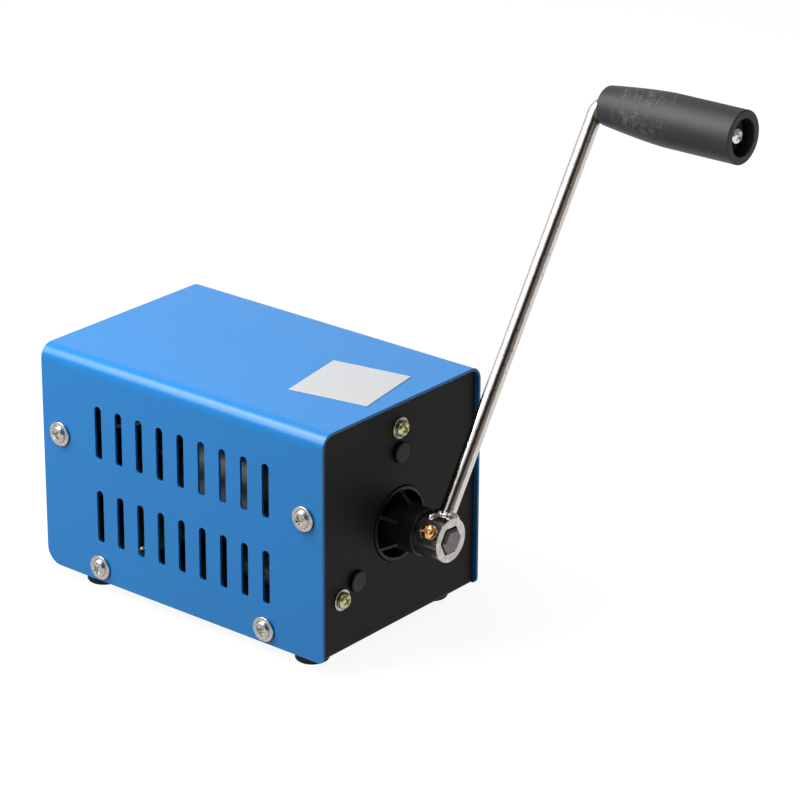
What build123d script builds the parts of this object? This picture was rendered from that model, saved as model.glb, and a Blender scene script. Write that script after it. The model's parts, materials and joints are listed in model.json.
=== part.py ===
from build123d import *

import os
from math import acos, atan, cos, degrees, pi, radians, sin, tan

# Hand crank generator: a folded case on four rubber feet, a two-stage planetary gearbox behind the
# front wall, a brushed direct-current machine, an output board and a crank with a turning grip.
# Millimetres. +X is to the right as seen from the crank, +Y runs from the crank to the output
# sockets and +Z is up. The origin is on the table, under the middle of the case.

# ---------------------------------------------------------------------------------------------
# Driving dimensions
# ---------------------------------------------------------------------------------------------

# Case: the blue cover is a folded sheet that slides over the black chassis
case_length = 124.5
case_width = 81.0
case_height = 80.0
cover_sheet = 1.0
cover_bend = 5.0                # outer radius along the two top edges
cover_front_corner = 2.0
cover_rear_corner = 6.0
chassis_sheet = 1.2
chassis_bend = 1.3              # outer radius along the two bottom edges
bend_strip = 3.0                # the base carries the walls' lowest strip, with the bends
cover_gap = 0.1                 # between the cover and the chassis
end_recess = 1.5                # the chassis walls stand this far inside the cover's ends
wall_flange_depth = 12.0        # return flanges behind the front and rear walls
wall_flange_foot = 18.0         # their lowest point above the case's bottom
wall_flange_height = 50.0
base_flange_inset = 16.8        # from the chassis's ends
base_flange_height = 11.5

# Ventilation slots, two rows on each side
slot_width = 3.0
slot_length = 19.2
slot_pitch = 9.3
slots_in_row = 9
slot_row_shift = -0.8           # the rows lie this far from the case's middle
lower_row_height = 23.95        # slot centres above the case's bottom
upper_row_height = 54.6

# Fasteners: (head radius, head height, shank radius)
case_screw_head_radius = 4.35
case_screw_head_height = 2.3
small_screw_radius = 1.5        # shank of every M3 screw
small_screw_head_radius = 2.8
small_screw_head_height = 2.0
screw_slack = 0.05              # between a shank and the tapped hole that holds it
hole_slack = 0.3                # between a shank and a plain clearance hole
case_screw_length = 7.0
high_screw_inset = 8.0          # from the cover's ends
high_screw_height = 49.75       # above the case's bottom
low_screw_inset = 25.3
low_screw_height = 5.2

# Feet
foot_height = 5.0
foot_radius = 6.0
foot_spacing_x = 62.0
foot_spacing_y = 94.4
foot_shift = -2.3               # the feet's middle from the case's middle
foot_recess_radius = 3.5
foot_recess_depth = 2.6
nut_across_flats = 5.5
nut_height = 2.4

# Label: a bare foil square, laid on a little askew
label_side = 29.4
label_thickness = 0.2
label_from_front = 22.65
label_turn = 10.5

# Crank axis and the black gearbox nose in the front wall
axis_above_case_bottom = 36.0
nose_opening_radius = 13.1      # round opening in the front wall
nose_gap = 0.3                  # between the nose and that opening
nose_rim_width = 1.2
nose_rim_stand = 0.45           # the rim stands this far proud of the front wall
nose_boss_radius = 8.0
nose_boss_stand = 11.5          # the boss stands this far proud of the front wall
nose_rib_stand = 5.5            # the ribs meet the boss this far proud of the front wall
nose_rib_count = 6
nose_rib_thickness = 1.3
nose_pocket_depth = 2.4
nose_flange_thickness = 3.5
peg_radius = 3.5
peg_stand = 1.5
peg_edge = 0.5
front_washer_radius = 3.75
front_washer_thickness = 0.6
front_screw_length = 12.0

# Gear train: two equal planetary stages, one behind the other
gear_module = 1.0
pressure_angle = radians(25.0)
planet_count = 3
sun_teeth_per_planet = 4
planet_teeth_per_planet = 6
addendum = 0.8                  # tooth height outside the pitch circle, in modules
dedendum = 1.0                  # and inside it
tooth_slack = 0.1               # each tooth is this much thinner along its pitch circle
face_width = 9.0
carrier_thickness = 4.0
carrier_rim = 3.5               # disc left outside the planet pins' centres
planet_pin_radius = 2.5
running_gap = 0.05              # radial gap of every turning fit
end_gap = 0.3                   # axial gap beside a turning piece
ring_wall = 4.5                 # outside the ring gear's tooth roots
lug_radius = 4.5
peg_inset = 4.0                 # the pegs' centres lie this far inside the housing's edge
gearbox_cap_thickness = 8.0

# Input shaft, bush and retaining clip
shaft_across_flats = 8.0
journal_radius = 5.0
bush_wall = 1.5
seat_gap = 0.02                 # assembly gap of a pressed seat
clip_thickness = 0.8
clip_radius = 6.6
clip_groove_depth = 0.4
shaft_chamfer = 0.8

# Crank
crank_angle = 57.2              # from +X towards +Z, at rest
crank_radius = 151.8            # from the shaft's axis to the grip's axis
sleeve_radius = 7.5
sleeve_length = 8.7
sleeve_across_flats = 9.0
sleeve_from_boss = 1.3
sleeve_flat_depth = 0.4         # spot face under each clamp screw
clamp_screw_back = 4.2          # clamp screws behind the sleeve's front face
clamp_screw_head_radius = 2.5
rod_radius = 2.75
rod_bend = 3.5
rod_back = 5.0                  # rod's centre behind the sleeve's front face
weld_reach = 3.6                # weld bead's radius on the sleeve
weld_height = 1.8

# Grip
grip_radius = 9.05
grip_neck_radius = 6.6
grip_length = 54.0
grip_swell = 26.0               # length over which the neck widens
grip_swell_share = 0.62         # of the widening, reached halfway along it
grip_bore_gap = 0.05
grip_mouth_bevel = 0.6          # of the bore, where it clears the rod's bend
grip_cavity_radius = 6.3
grip_cavity_depth = 5.0
grip_edge = 0.5
grip_screw_radius = 1.5
grip_screw_head_radius = 3.1
grip_screw_head_height = 2.4
grip_screw_length = 10.0
grip_washer_radius = 4.6
grip_washer_thickness = 0.8

# Generator machine
motor_radius = 21.0
motor_length = 37.0
motor_wall = 1.5
motor_boss_radius = 7.5
motor_boss_stand = 2.5
motor_shaft_radius = 1.6
motor_bush_radius = 4.0
motor_bush_length = 4.0
magnet_thickness = 5.6
magnet_length = 26.0
magnet_span = 130.0
air_gap = 0.7
core_length = 18.0
core_from_face = 8.0            # laminated core behind the machine's front face
winding_overhang = 4.3
winding_crown = 0.85            # end turns' outer radius as a share of the core's
commutator_radius = 5.0
commutator_length = 4.0
brush_width = 4.5
brush_depth = 3.4
brush_length = 6.0
brush_arm_thickness = 0.8
brush_arm_width = 4.0
terminal_stand = 6.0
end_cap_plug = 2.4
end_cap_flange = 2.0
end_cap_boss_radius = 6.0
end_cap_boss_stand = 3.0
motor_screw_circle = 12.5
motor_screw_counterbore = 3.2

# Output board at the rear of the base
board_width = 60.0
board_depth = 32.5
board_thickness = 1.6
board_rear_gap = 1.0            # to the rear wall
standoff_height = 6.0
standoff_across_flats = 5.5
standoff_inset = 4.2
capacitor_radius = 5.0
capacitor_height = 16.0
inductor_side = 12.0
inductor_height = 6.0
regulator_width = 10.0
regulator_thickness = 4.4
regulator_body_height = 12.0
regulator_tab_height = 6.0
regulator_tab_thickness = 1.3
regulator_stand = 3.0

# Universal serial bus socket
usb_width = 13.2
usb_height = 5.8
usb_depth = 14.2
usb_shell_wall = 0.4
usb_stand = 0.25
usb_tongue_width = 11.0
usb_tongue_thickness = 1.8
usb_tongue_drop = 0.75
usb_block_depth = 3.0
panel_hole_gap = 0.1

# Power light
lamp_radius = 1.5
lamp_stand = 1.0
lamp_base = 4.4
lamp_from_middle = 14.5

# Two 4 mm output sockets
socket_spacing = 19.0
socket_above_case_bottom = 47.0
socket_bore_radius = 2.0
socket_bore_depth = 14.0
socket_tube_wall = 0.7
socket_barrel_radius = 4.0
socket_barrel_length = 10.0
socket_flange_radius = 6.0
socket_flange_thickness = 3.0
socket_mouth_step = 1.0
socket_tail_radius = 1.2
socket_tail_length = 6.0
socket_nut_across_flats = 11.0
socket_nut_height = 3.0

# Internal wires
wire_radius = 0.8

# ---------------------------------------------------------------------------------------------
# Places that follow from them
# ---------------------------------------------------------------------------------------------

case_bottom = foot_height
case_front = -case_length / 2
case_rear = case_length / 2
axis_height = case_bottom + axis_above_case_bottom
crank_axis = Axis((0, 0, axis_height), (0, 1, 0))

cover_inner_width = case_width - 2 * cover_sheet
chassis_width = cover_inner_width - 2 * cover_gap
chassis_height = case_height - cover_sheet - cover_gap
chassis_length = case_length - 2 * end_recess
wall_front = case_front + end_recess
wall_back = wall_front + chassis_sheet
rear_wall_inner = case_rear - end_recess - chassis_sheet
rear_wall_outer = case_rear - end_recess
base_top = case_bottom + chassis_sheet

small_hole = small_screw_radius + hole_slack
tapped_hole = small_screw_radius + screw_slack

sun_teeth = planet_count * sun_teeth_per_planet
planet_teeth = planet_count * planet_teeth_per_planet
ring_teeth = sun_teeth + 2 * planet_teeth
sun_pitch_radius = gear_module * sun_teeth / 2
planet_pitch_radius = gear_module * planet_teeth / 2
ring_pitch_radius = gear_module * ring_teeth / 2
planet_orbit = sun_pitch_radius + planet_pitch_radius
tooth_tip = gear_module * addendum
tooth_root = gear_module * dedendum
ring_root_radius = ring_pitch_radius + tooth_root
housing_radius = ring_root_radius + ring_wall
lug_circle = housing_radius + lug_radius
peg_circle = housing_radius - peg_inset
carrier_radius = planet_orbit + carrier_rim
first_planet_angle = 90.0

# Stations along the crank axis, from the front to the rear
boss_front = wall_front - nose_boss_stand
flange_back = wall_back + nose_flange_thickness
first_disc_front = flange_back + end_gap
first_disc_back = first_disc_front + carrier_thickness
first_planet_front = first_disc_back + end_gap
first_planet_back = first_planet_front + face_width
second_disc_front = first_planet_back + end_gap
second_disc_back = second_disc_front + carrier_thickness
second_planet_front = second_disc_back + end_gap
second_planet_back = second_planet_front + face_width
cap_front = second_planet_back + end_gap
cap_back = cap_front + gearbox_cap_thickness
motor_front = cap_back
motor_back = motor_front + motor_length
ring_gear_length = cap_front - flange_back

sleeve_back = boss_front - sleeve_from_boss
sleeve_front = sleeve_back - sleeve_length
shaft_front = sleeve_front - shaft_chamfer - end_gap
clip_back = boss_front - seat_gap
clip_front = clip_back - clip_thickness
bush_radius = journal_radius + running_gap + bush_wall

crank_direction = Vector(cos(radians(crank_angle)), 0, sin(radians(crank_angle)))
rod_station = sleeve_front + rod_back
clamp_station = sleeve_front + clamp_screw_back
grip_x = crank_radius * cos(radians(crank_angle))
grip_z = axis_height + crank_radius * sin(radians(crank_angle))
grip_axis = Axis((grip_x, 0, grip_z), (0, 1, 0))
grip_back = rod_station - rod_radius - end_gap
grip_front = grip_back - grip_length
cavity_floor = grip_front + grip_cavity_depth
spindle_front = cavity_floor - end_gap

board_back = rear_wall_inner - board_rear_gap
board_front = board_back - board_depth
board_middle = (board_front + board_back) / 2
board_top = base_top + standoff_height + board_thickness
socket_height = case_bottom + socket_above_case_bottom
socket_mouth = rear_wall_outer + socket_flange_thickness
socket_tube_radius = socket_bore_radius + socket_tube_wall
tube_back = socket_mouth - socket_mouth_step
tube_front = tube_back - socket_bore_depth - socket_tube_wall
tail_front = tube_front - socket_tail_length
lamp_height = board_top + lamp_base / 2 + lamp_radius / 2

# ---------------------------------------------------------------------------------------------
# Planes, shared outlines and shared pieces
# ---------------------------------------------------------------------------------------------


def facing_crank(y, x=0.0, z=axis_height):
    """A sketch plane square to the crank axis and facing the crank: its Y is the case's Z."""
    return Plane(origin=(x, y, z), x_dir=(1, 0, 0), z_dir=(0, -1, 0))


def facing_side(side, y, z):
    """A plane on the cover's left (-1) or right (+1) face, facing outwards."""
    return Plane(origin=(side * case_width / 2, y, z), x_dir=(0, 1, 0), z_dir=(side, 0, 0))


def through_axis(angle):
    """A plane that holds the crank axis: its X is the radius at that angle, its Y is -Y."""
    outward = (cos(radians(angle)), 0, sin(radians(angle)))
    return Plane(
        origin=(0, 0, axis_height), x_dir=outward, z_dir=(outward[2], 0, -outward[0])
    )


def upright(width, height, corner, rounded_end):
    """A rectangle standing on the sketch's X axis, with its top (-1) or foot (0) rounded."""
    with BuildSketch() as outline:
        Rectangle(width, height, align=(Align.CENTER, Align.MIN))
        fillet(outline.vertices().group_by(Axis.Y)[rounded_end], corner)
    return outline.sketch


def pan_screw(head_radius, head_height, shank_radius, shank_length):
    """A cross-recess screw: its seat is the local XY plane and its head points along +Z."""
    recess_span = 1.1 * head_radius
    recess_width = 0.24 * head_radius
    with BuildPart() as screw:
        with BuildSketch(Plane.XZ):
            with BuildLine():
                Polyline(
                    (0, head_height),
                    (0, -shank_length),
                    (shank_radius, -shank_length),
                    (shank_radius, 0),
                    (head_radius, 0),
                    (head_radius, 0.35 * head_height),
                )
                ThreePointArc(
                    (head_radius, 0.35 * head_height),
                    (0.68 * head_radius, 0.86 * head_height),
                    (0, head_height),
                )
            make_face()
        revolve(axis=Axis.Z)
        with BuildSketch(Plane.XY.offset(0.4 * head_height)):
            Rectangle(recess_span, recess_width)
            Rectangle(recess_width, recess_span)
        extrude(amount=head_height, mode=Mode.SUBTRACT)
    return screw.part


def hexagon_nut(across_flats, height, bore_radius):
    """A nut standing on the local XY plane."""
    with BuildPart() as nut:
        with BuildSketch():
            RegularPolygon(across_flats / 2, 6, major_radius=False)
            Circle(bore_radius, mode=Mode.SUBTRACT)
        extrude(amount=height)
    return nut.part


def polar(radius, angle):
    return (radius * cos(angle), radius * sin(angle))


def involute(angle):
    return tan(angle) - angle


def gear_outline(teeth, tip_radius, root_radius, slack, first_tooth):
    """A spur gear with a tooth at the angle first_tooth, in degrees.

    Each flank is an arc through three points of its involute, on a radial foot where the root
    lies inside the base circle. slack thins each tooth along the pitch circle.
    """
    pitch_radius = gear_module * teeth / 2
    base_radius = pitch_radius * cos(pressure_angle)
    flank_start = max(root_radius, base_radius)
    flank_radii = (flank_start, (flank_start + tip_radius) / 2, tip_radius)
    half_at_pitch = pi / (2 * teeth) - slack / (2 * pitch_radius)

    def half_tooth(radius):
        return half_at_pitch + involute(pressure_angle) - involute(acos(base_radius / radius))

    with BuildSketch() as outline:
        with BuildLine():
            for tooth in range(teeth):
                middle = radians(first_tooth) + 2 * pi * tooth / teeth
                foot = half_tooth(flank_start)
                rising = [polar(r, middle - half_tooth(r)) for r in flank_radii]
                falling = [polar(r, middle + half_tooth(r)) for r in reversed(flank_radii)]
                gap_start = polar(root_radius, middle + foot)
                gap_middle = polar(root_radius, middle + pi / teeth)
                gap_end = polar(root_radius, middle + 2 * pi / teeth - foot)
                if root_radius < base_radius:
                    Line(polar(root_radius, middle - foot), rising[0])
                ThreePointArc(*rising)
                ThreePointArc(rising[-1], polar(tip_radius, middle), falling[0])
                ThreePointArc(*falling)
                if root_radius < base_radius:
                    Line(falling[-1], gap_start)
                ThreePointArc(gap_start, gap_middle, gap_end)
        make_face()
    return outline.sketch


def spur_outline(teeth, first_tooth):
    """An outside gear of this train."""
    pitch_radius = gear_module * teeth / 2
    return gear_outline(
        teeth, pitch_radius + tooth_tip, pitch_radius - tooth_root, tooth_slack, first_tooth
    )


def lugged_disc():
    """The gearbox's round outline with its three screw lugs."""
    lug_angles = {"count": planet_count, "start_angle": first_planet_angle}
    with BuildSketch() as outline:
        Circle(housing_radius)
        with PolarLocations(lug_circle, **lug_angles):
            Circle(lug_radius)
        with PolarLocations(lug_circle - lug_radius, **lug_angles):
            Rectangle(2 * lug_radius, 2 * lug_radius)
    return outline.sketch


def bend_radii(points):
    """The fillet at each inner point of a wire's route: as large as its two runs allow."""
    runs = [Vector(b) - Vector(a) for a, b in zip(points, points[1:])]
    radii = []
    for before, after in zip(runs, runs[1:]):
        half_turn = radians(before.get_angle(after)) / 2
        radii.append(0.45 * min(before.length, after.length) / tan(half_turn))
    return radii


def internal_wire(name, points):
    """An insulated wire along straight runs joined by tangent arcs."""
    radii = bend_radii(points)
    print(name, "bend radii", [round(r, 1) for r in radii])
    with BuildPart() as wire:
        with BuildLine():
            FilletPolyline(*points, radius=radii)
        with BuildSketch(Plane(origin=points[0], z_dir=Vector(points[1]) - Vector(points[0]))):
            Circle(wire_radius)
        sweep()
    return wire.part


os.makedirs("parts", exist_ok=True)
small_lugs = {"count": planet_count, "start_angle": first_planet_angle}

# ---------------------------------------------------------------------------------------------
# Case
# ---------------------------------------------------------------------------------------------


def side_screw_places(inset, height):
    """The cover's screws at one height: (side, y, z) for both sides and both ends."""
    return [
        (side, end * (case_rear - inset), case_bottom + height)
        for side in (-1, 1)
        for end in (-1, 1)
    ]


high_screw_places = side_screw_places(high_screw_inset, high_screw_height)
low_screw_places = side_screw_places(low_screw_inset, low_screw_height)
case_screw_places = high_screw_places + low_screw_places

with BuildPart() as cover:
    with BuildSketch(facing_crank(0, z=case_bottom)):
        add(upright(case_width, case_height, cover_bend, -1))
        add(
            upright(
                cover_inner_width, case_height - cover_sheet, cover_bend - cover_sheet, -1
            ),
            mode=Mode.SUBTRACT,
        )
    extrude(amount=case_length / 2, both=True)
    foot_corners = cover.edges().filter_by(Axis.X).group_by(Axis.Z)[0]
    fillet(foot_corners.group_by(Axis.Y)[0], cover_front_corner)
    rear_corners = cover.edges().filter_by(Axis.X).group_by(Axis.Z)[0].group_by(Axis.Y)[-1]
    fillet(rear_corners, cover_rear_corner)
    for row_height in (lower_row_height, upper_row_height):
        row_centre = (0, slot_row_shift, case_bottom + row_height)
        with BuildSketch(Plane(origin=row_centre, x_dir=(0, 1, 0), z_dir=(1, 0, 0))):
            with GridLocations(slot_pitch, 0, slots_in_row, 1):
                SlotOverall(slot_length, slot_width, rotation=90)
        extrude(amount=case_width, both=True, mode=Mode.SUBTRACT)
    for side, y, z in case_screw_places:
        with BuildSketch(facing_side(side, y, z)):
            Circle(small_hole)
        extrude(amount=-2 * cover_sheet, mode=Mode.SUBTRACT)
cover.part.label = "cover"
export_step(cover.part, "parts/cover.step")

foot_places = [
    (side * foot_spacing_x / 2, foot_shift + end * foot_spacing_y / 2)
    for side in (-1, 1)
    for end in (-1, 1)
]
standoff_places = [
    (side * (board_width / 2 - standoff_inset), board_middle + end * (board_depth / 2 - standoff_inset))
    for side in (-1, 1)
    for end in (-1, 1)
]

# The chassis is folded from one sheet. It is made as its base with both bends, its two walls, and
# the walls' return flanges, which the cover's high screws bite into.


def end_wall(inner_face, end):
    """The front (-1) or rear (+1) wall, from the base's bend up."""
    with BuildPart() as wall:
        with BuildSketch(facing_crank(inner_face, z=case_bottom + bend_strip)):
            wall_corner = cover_bend - cover_sheet + cover_gap
            add(upright(chassis_width, chassis_height - bend_strip, wall_corner, -1))
        extrude(amount=-end * chassis_sheet)
    return wall.part


with BuildPart() as chassis_base:
    with BuildSketch(Plane.YZ.offset(-chassis_width / 2)):
        with Locations((0, case_bottom)):
            add(upright(chassis_length, bend_strip, chassis_bend, 0))
        with Locations((0, base_top)):
            add(
                upright(
                    chassis_length - 2 * chassis_sheet,
                    bend_strip,
                    chassis_bend - chassis_sheet,
                    0,
                ),
                mode=Mode.SUBTRACT,
            )
    extrude(amount=chassis_width)
    with Locations((0, 0, base_top)):
        with GridLocations(chassis_width - chassis_sheet, 0, 2, 1):
            Box(
                chassis_sheet,
                chassis_length - 2 * base_flange_inset,
                base_flange_height - chassis_sheet,
                align=(Align.CENTER, Align.CENTER, Align.MIN),
            )
    for side, y, z in low_screw_places:
        with BuildSketch(facing_side(side, y, z)):
            Circle(tapped_hole)
        extrude(amount=-2 * (cover_sheet + chassis_sheet), mode=Mode.SUBTRACT)
    # The feet's screws and the board's standoffs
    with BuildSketch(Plane.XY.offset(case_bottom)):
        with Locations(*foot_places):
            Circle(small_hole)
        with Locations(*standoff_places):
            Circle(small_hole)
    extrude(amount=chassis_sheet, mode=Mode.SUBTRACT)
chassis_base.part.label = "chassis_base"
export_step(chassis_base.part, "parts/chassis_base.step")

with BuildPart() as front_wall:
    add(end_wall(wall_back, -1))
    # The nose's opening, its pegs and its screws
    with BuildSketch(facing_crank(wall_front)):
        Circle(nose_opening_radius)
        with PolarLocations(peg_circle, **small_lugs):
            Circle(peg_radius + nose_gap / 2)
        with PolarLocations(lug_circle, **small_lugs):
            Circle(small_hole)
    extrude(amount=-chassis_sheet, mode=Mode.SUBTRACT)
front_wall.part.label = "front_wall"
export_step(front_wall.part, "parts/front_wall.step")

with BuildPart() as rear_wall:
    add(end_wall(rear_wall_inner, 1))
    # The sockets, the serial bus socket and the power light
    with BuildSketch(facing_crank(rear_wall_inner, z=0)):
        with Locations((0, socket_height)):
            with GridLocations(socket_spacing, 0, 2, 1):
                Circle(socket_barrel_radius + panel_hole_gap)
        with Locations((0, board_top + usb_height / 2)):
            Rectangle(usb_width + 2 * panel_hole_gap, usb_height + 2 * panel_hole_gap)
        with Locations((-lamp_from_middle, lamp_height)):
            Circle(lamp_radius + panel_hole_gap)
    extrude(amount=-chassis_sheet, mode=Mode.SUBTRACT)
rear_wall.part.label = "rear_wall"
export_step(rear_wall.part, "parts/rear_wall.step")

with BuildPart() as wall_flanges:
    with Locations((0, 0, case_bottom + wall_flange_foot)):
        with GridLocations(
            chassis_width - chassis_sheet, 2 * rear_wall_inner - wall_flange_depth, 2, 2
        ):
            Box(
                chassis_sheet,
                wall_flange_depth,
                wall_flange_height,
                align=(Align.CENTER, Align.CENTER, Align.MIN),
            )
    for side, y, z in high_screw_places:
        with BuildSketch(facing_side(side, y, z)):
            Circle(tapped_hole)
        extrude(amount=-2 * (cover_sheet + chassis_sheet), mode=Mode.SUBTRACT)
wall_flanges.part.label = "wall_flanges"
export_step(wall_flanges.part, "parts/wall_flanges.step")

case_screw = pan_screw(
    case_screw_head_radius, case_screw_head_height, small_screw_radius, case_screw_length
)
with BuildPart() as cover_screws:
    with Locations(*[facing_side(*place) for place in case_screw_places]):
        add(case_screw)
cover_screws.part.label = "cover_screws"
export_step(cover_screws.part, "parts/cover_screws.step")

with BuildPart() as rubber_feet:
    with BuildSketch():
        with Locations(*foot_places):
            Circle(foot_radius)
            Circle(small_hole, mode=Mode.SUBTRACT)
    extrude(amount=foot_height)
    with BuildSketch():
        with Locations(*foot_places):
            Circle(foot_recess_radius)
    extrude(amount=foot_recess_depth, mode=Mode.SUBTRACT)
    tread_edges = rubber_feet.edges().filter_by(GeomType.CIRCLE).group_by(Axis.Z)[0]
    chamfer(tread_edges.group_by(SortBy.RADIUS)[-1], 0.6)
rubber_feet.part.label = "rubber_feet"
export_step(rubber_feet.part, "parts/rubber_feet.step")

foot_screw = pan_screw(
    small_screw_head_radius,
    small_screw_head_height,
    small_screw_radius,
    foot_height - foot_recess_depth + chassis_sheet + nut_height + screw_slack,
)
with BuildPart() as foot_screws:
    with Locations(*[
        Plane(origin=(x, y, foot_recess_depth), z_dir=(0, 0, -1))
        for x, y in foot_places
    ]):
        add(foot_screw)
foot_screws.part.label = "foot_screws"
export_step(foot_screws.part, "parts/foot_screws.step")

foot_nut = hexagon_nut(nut_across_flats, nut_height, tapped_hole)
with BuildPart() as foot_nuts:
    with Locations(*[(x, y, base_top) for x, y in foot_places]):
        add(foot_nut)
foot_nuts.part.label = "foot_nuts"
export_step(foot_nuts.part, "parts/foot_nuts.step")

with BuildPart() as label:
    with BuildSketch(Plane.XY.offset(case_bottom + case_height)):
        with Locations((0, case_front + label_from_front)):
            Rectangle(label_side, label_side, rotation=label_turn)
    extrude(amount=label_thickness)
label.part.label = "label"
export_step(label.part, "parts/label.step")

# ---------------------------------------------------------------------------------------------
# Gearbox housing
# ---------------------------------------------------------------------------------------------

nose_radius = nose_opening_radius - nose_gap
rim_inner = nose_radius - nose_rim_width
pocket_floor = wall_back + nose_pocket_depth
rib_seat = 0.5                  # the ribs run this far into the boss and the rim

with BuildPart() as gearbox_nose:
    with BuildSketch(facing_crank(flange_back)):
        add(lugged_disc())
    extrude(amount=nose_flange_thickness)
    # Pegs that centre the gearbox in the front wall
    with BuildSketch(facing_crank(wall_back)):
        with PolarLocations(peg_circle, **small_lugs):
            Circle(peg_radius)
    extrude(amount=chassis_sheet + peg_stand)
    fillet(gearbox_nose.edges().group_by(Axis.Y)[0], peg_edge)
    # Recess around the boss, then the rim, the boss and the ribs across the recess
    with BuildSketch(facing_crank(wall_back)):
        Circle(rim_inner)
    extrude(amount=-nose_pocket_depth, mode=Mode.SUBTRACT)
    with BuildSketch(facing_crank(pocket_floor)):
        Circle(nose_boss_radius)
    extrude(amount=pocket_floor - boss_front)
    chamfer(gearbox_nose.edges().group_by(Axis.Y)[0], 0.4)
    with BuildSketch(facing_crank(wall_back)):
        Circle(nose_radius)
        Circle(rim_inner, mode=Mode.SUBTRACT)
    extrude(amount=chassis_sheet + nose_rim_stand)
    for rib in range(nose_rib_count):
        with BuildSketch(through_axis(first_planet_angle + 360 * rib / nose_rib_count)):
            with BuildLine():
                Polyline(
                    (nose_boss_radius - rib_seat, -pocket_floor),
                    (rim_inner + rib_seat, -pocket_floor),
                    (rim_inner + rib_seat, nose_rim_stand - wall_front),
                    (nose_boss_radius - rib_seat, nose_rib_stand - wall_front),
                    close=True,
                )
            make_face()
        extrude(amount=nose_rib_thickness / 2, both=True)
    with BuildSketch(facing_crank(flange_back)):
        Circle(bush_radius + seat_gap)
    extrude(amount=flange_back - boss_front, mode=Mode.SUBTRACT)
    with BuildSketch(facing_crank(flange_back)):
        with PolarLocations(lug_circle, **small_lugs):
            Circle(small_hole)
    extrude(amount=nose_flange_thickness, mode=Mode.SUBTRACT)
gearbox_nose.part.label = "gearbox_nose"
export_step(gearbox_nose.part, "parts/gearbox_nose.step")

with BuildPart() as nose_bush:
    with BuildSketch(facing_crank(flange_back)):
        Circle(bush_radius)
        Circle(journal_radius + running_gap, mode=Mode.SUBTRACT)
    extrude(amount=flange_back - boss_front)
nose_bush.part.label = "nose_bush"
export_step(nose_bush.part, "parts/nose_bush.step")

# With an even planet a ring tooth points at each planet's centre, with an odd one a ring gap does
ring_gap_angle = first_planet_angle + (1 - planet_teeth % 2) * 180 / ring_teeth

with BuildPart() as ring_gear:
    with BuildSketch(facing_crank(cap_front)):
        add(lugged_disc())
        add(
            gear_outline(
                ring_teeth,
                ring_root_radius,
                ring_pitch_radius - tooth_tip,
                -tooth_slack,
                ring_gap_angle,
            ),
            mode=Mode.SUBTRACT,
        )
        with PolarLocations(lug_circle, **small_lugs):
            Circle(tapped_hole, mode=Mode.SUBTRACT)
    extrude(amount=ring_gear_length)
ring_gear.part.label = "ring_gear"
export_step(ring_gear.part, "parts/ring_gear.step")

with BuildPart() as gearbox_cap:
    with BuildSketch(facing_crank(cap_back)):
        add(lugged_disc())
        Circle(motor_boss_radius + seat_gap, mode=Mode.SUBTRACT)
        with PolarLocations(lug_circle, **small_lugs):
            Circle(small_hole, mode=Mode.SUBTRACT)
        with PolarLocations(motor_screw_circle, 2):
            Circle(small_hole, mode=Mode.SUBTRACT)
    extrude(amount=gearbox_cap_thickness)
    with BuildSketch(facing_crank(cap_front)):
        with PolarLocations(motor_screw_circle, 2):
            Circle(small_screw_head_radius + hole_slack)
    extrude(amount=-motor_screw_counterbore, mode=Mode.SUBTRACT)
gearbox_cap.part.label = "gearbox_cap"
export_step(gearbox_cap.part, "parts/gearbox_cap.step")

with BuildPart() as front_washers:
    with BuildSketch(facing_crank(wall_front)):
        with PolarLocations(lug_circle, **small_lugs):
            Circle(front_washer_radius)
            Circle(small_hole, mode=Mode.SUBTRACT)
    extrude(amount=front_washer_thickness)
front_washers.part.label = "front_washers"
export_step(front_washers.part, "parts/front_washers.step")

front_screw = pan_screw(
    small_screw_head_radius, small_screw_head_height, small_screw_radius, front_screw_length
)
lug_angles = [radians(first_planet_angle + 360 * lug / planet_count) for lug in range(planet_count)]
with BuildPart() as front_screws:
    with Locations(*[
        facing_crank(
            wall_front - front_washer_thickness,
            lug_circle * cos(angle),
            axis_height + lug_circle * sin(angle),
        )
        for angle in lug_angles
    ]):
        add(front_screw)
front_screws.part.label = "front_screws"
export_step(front_screws.part, "parts/front_screws.step")

cap_screw = pan_screw(
    small_screw_head_radius,
    small_screw_head_height,
    small_screw_radius,
    gearbox_cap_thickness + ring_gear_length / 3,
)
with BuildPart() as cap_screws:
    with Locations(*[
        Plane(
            origin=(
                lug_circle * cos(angle),
                cap_back,
                axis_height + lug_circle * sin(angle),
            ),
            z_dir=(0, 1, 0),
        )
        for angle in lug_angles
    ]):
        add(cap_screw)
cap_screws.part.label = "cap_screws"
export_step(cap_screws.part, "parts/cap_screws.step")

# ---------------------------------------------------------------------------------------------
# Gear train
# ---------------------------------------------------------------------------------------------

with BuildPart() as input_shaft:
    with BuildSketch(facing_crank(clip_front)):
        RegularPolygon(shaft_across_flats / 2, 6, major_radius=False, rotation=crank_angle)
    extrude(amount=clip_front - shaft_front)
    chamfer(input_shaft.faces().sort_by(Axis.Y)[0].edges(), shaft_chamfer)
    with BuildSketch(facing_crank(first_disc_front)):
        Circle(journal_radius)
    extrude(amount=first_disc_front - (sleeve_back + end_gap))
    with BuildSketch(facing_crank(first_disc_back)):
        RegularPolygon(shaft_across_flats / 2, 6, major_radius=False, rotation=crank_angle)
    extrude(amount=carrier_thickness)
    with BuildSketch(facing_crank(clip_back)):
        Circle(journal_radius)
        Circle(journal_radius - clip_groove_depth, mode=Mode.SUBTRACT)
    extrude(amount=clip_thickness, mode=Mode.SUBTRACT)
input_shaft.part.label = "input_shaft"
export_step(input_shaft.part, "parts/input_shaft.step")

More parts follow.
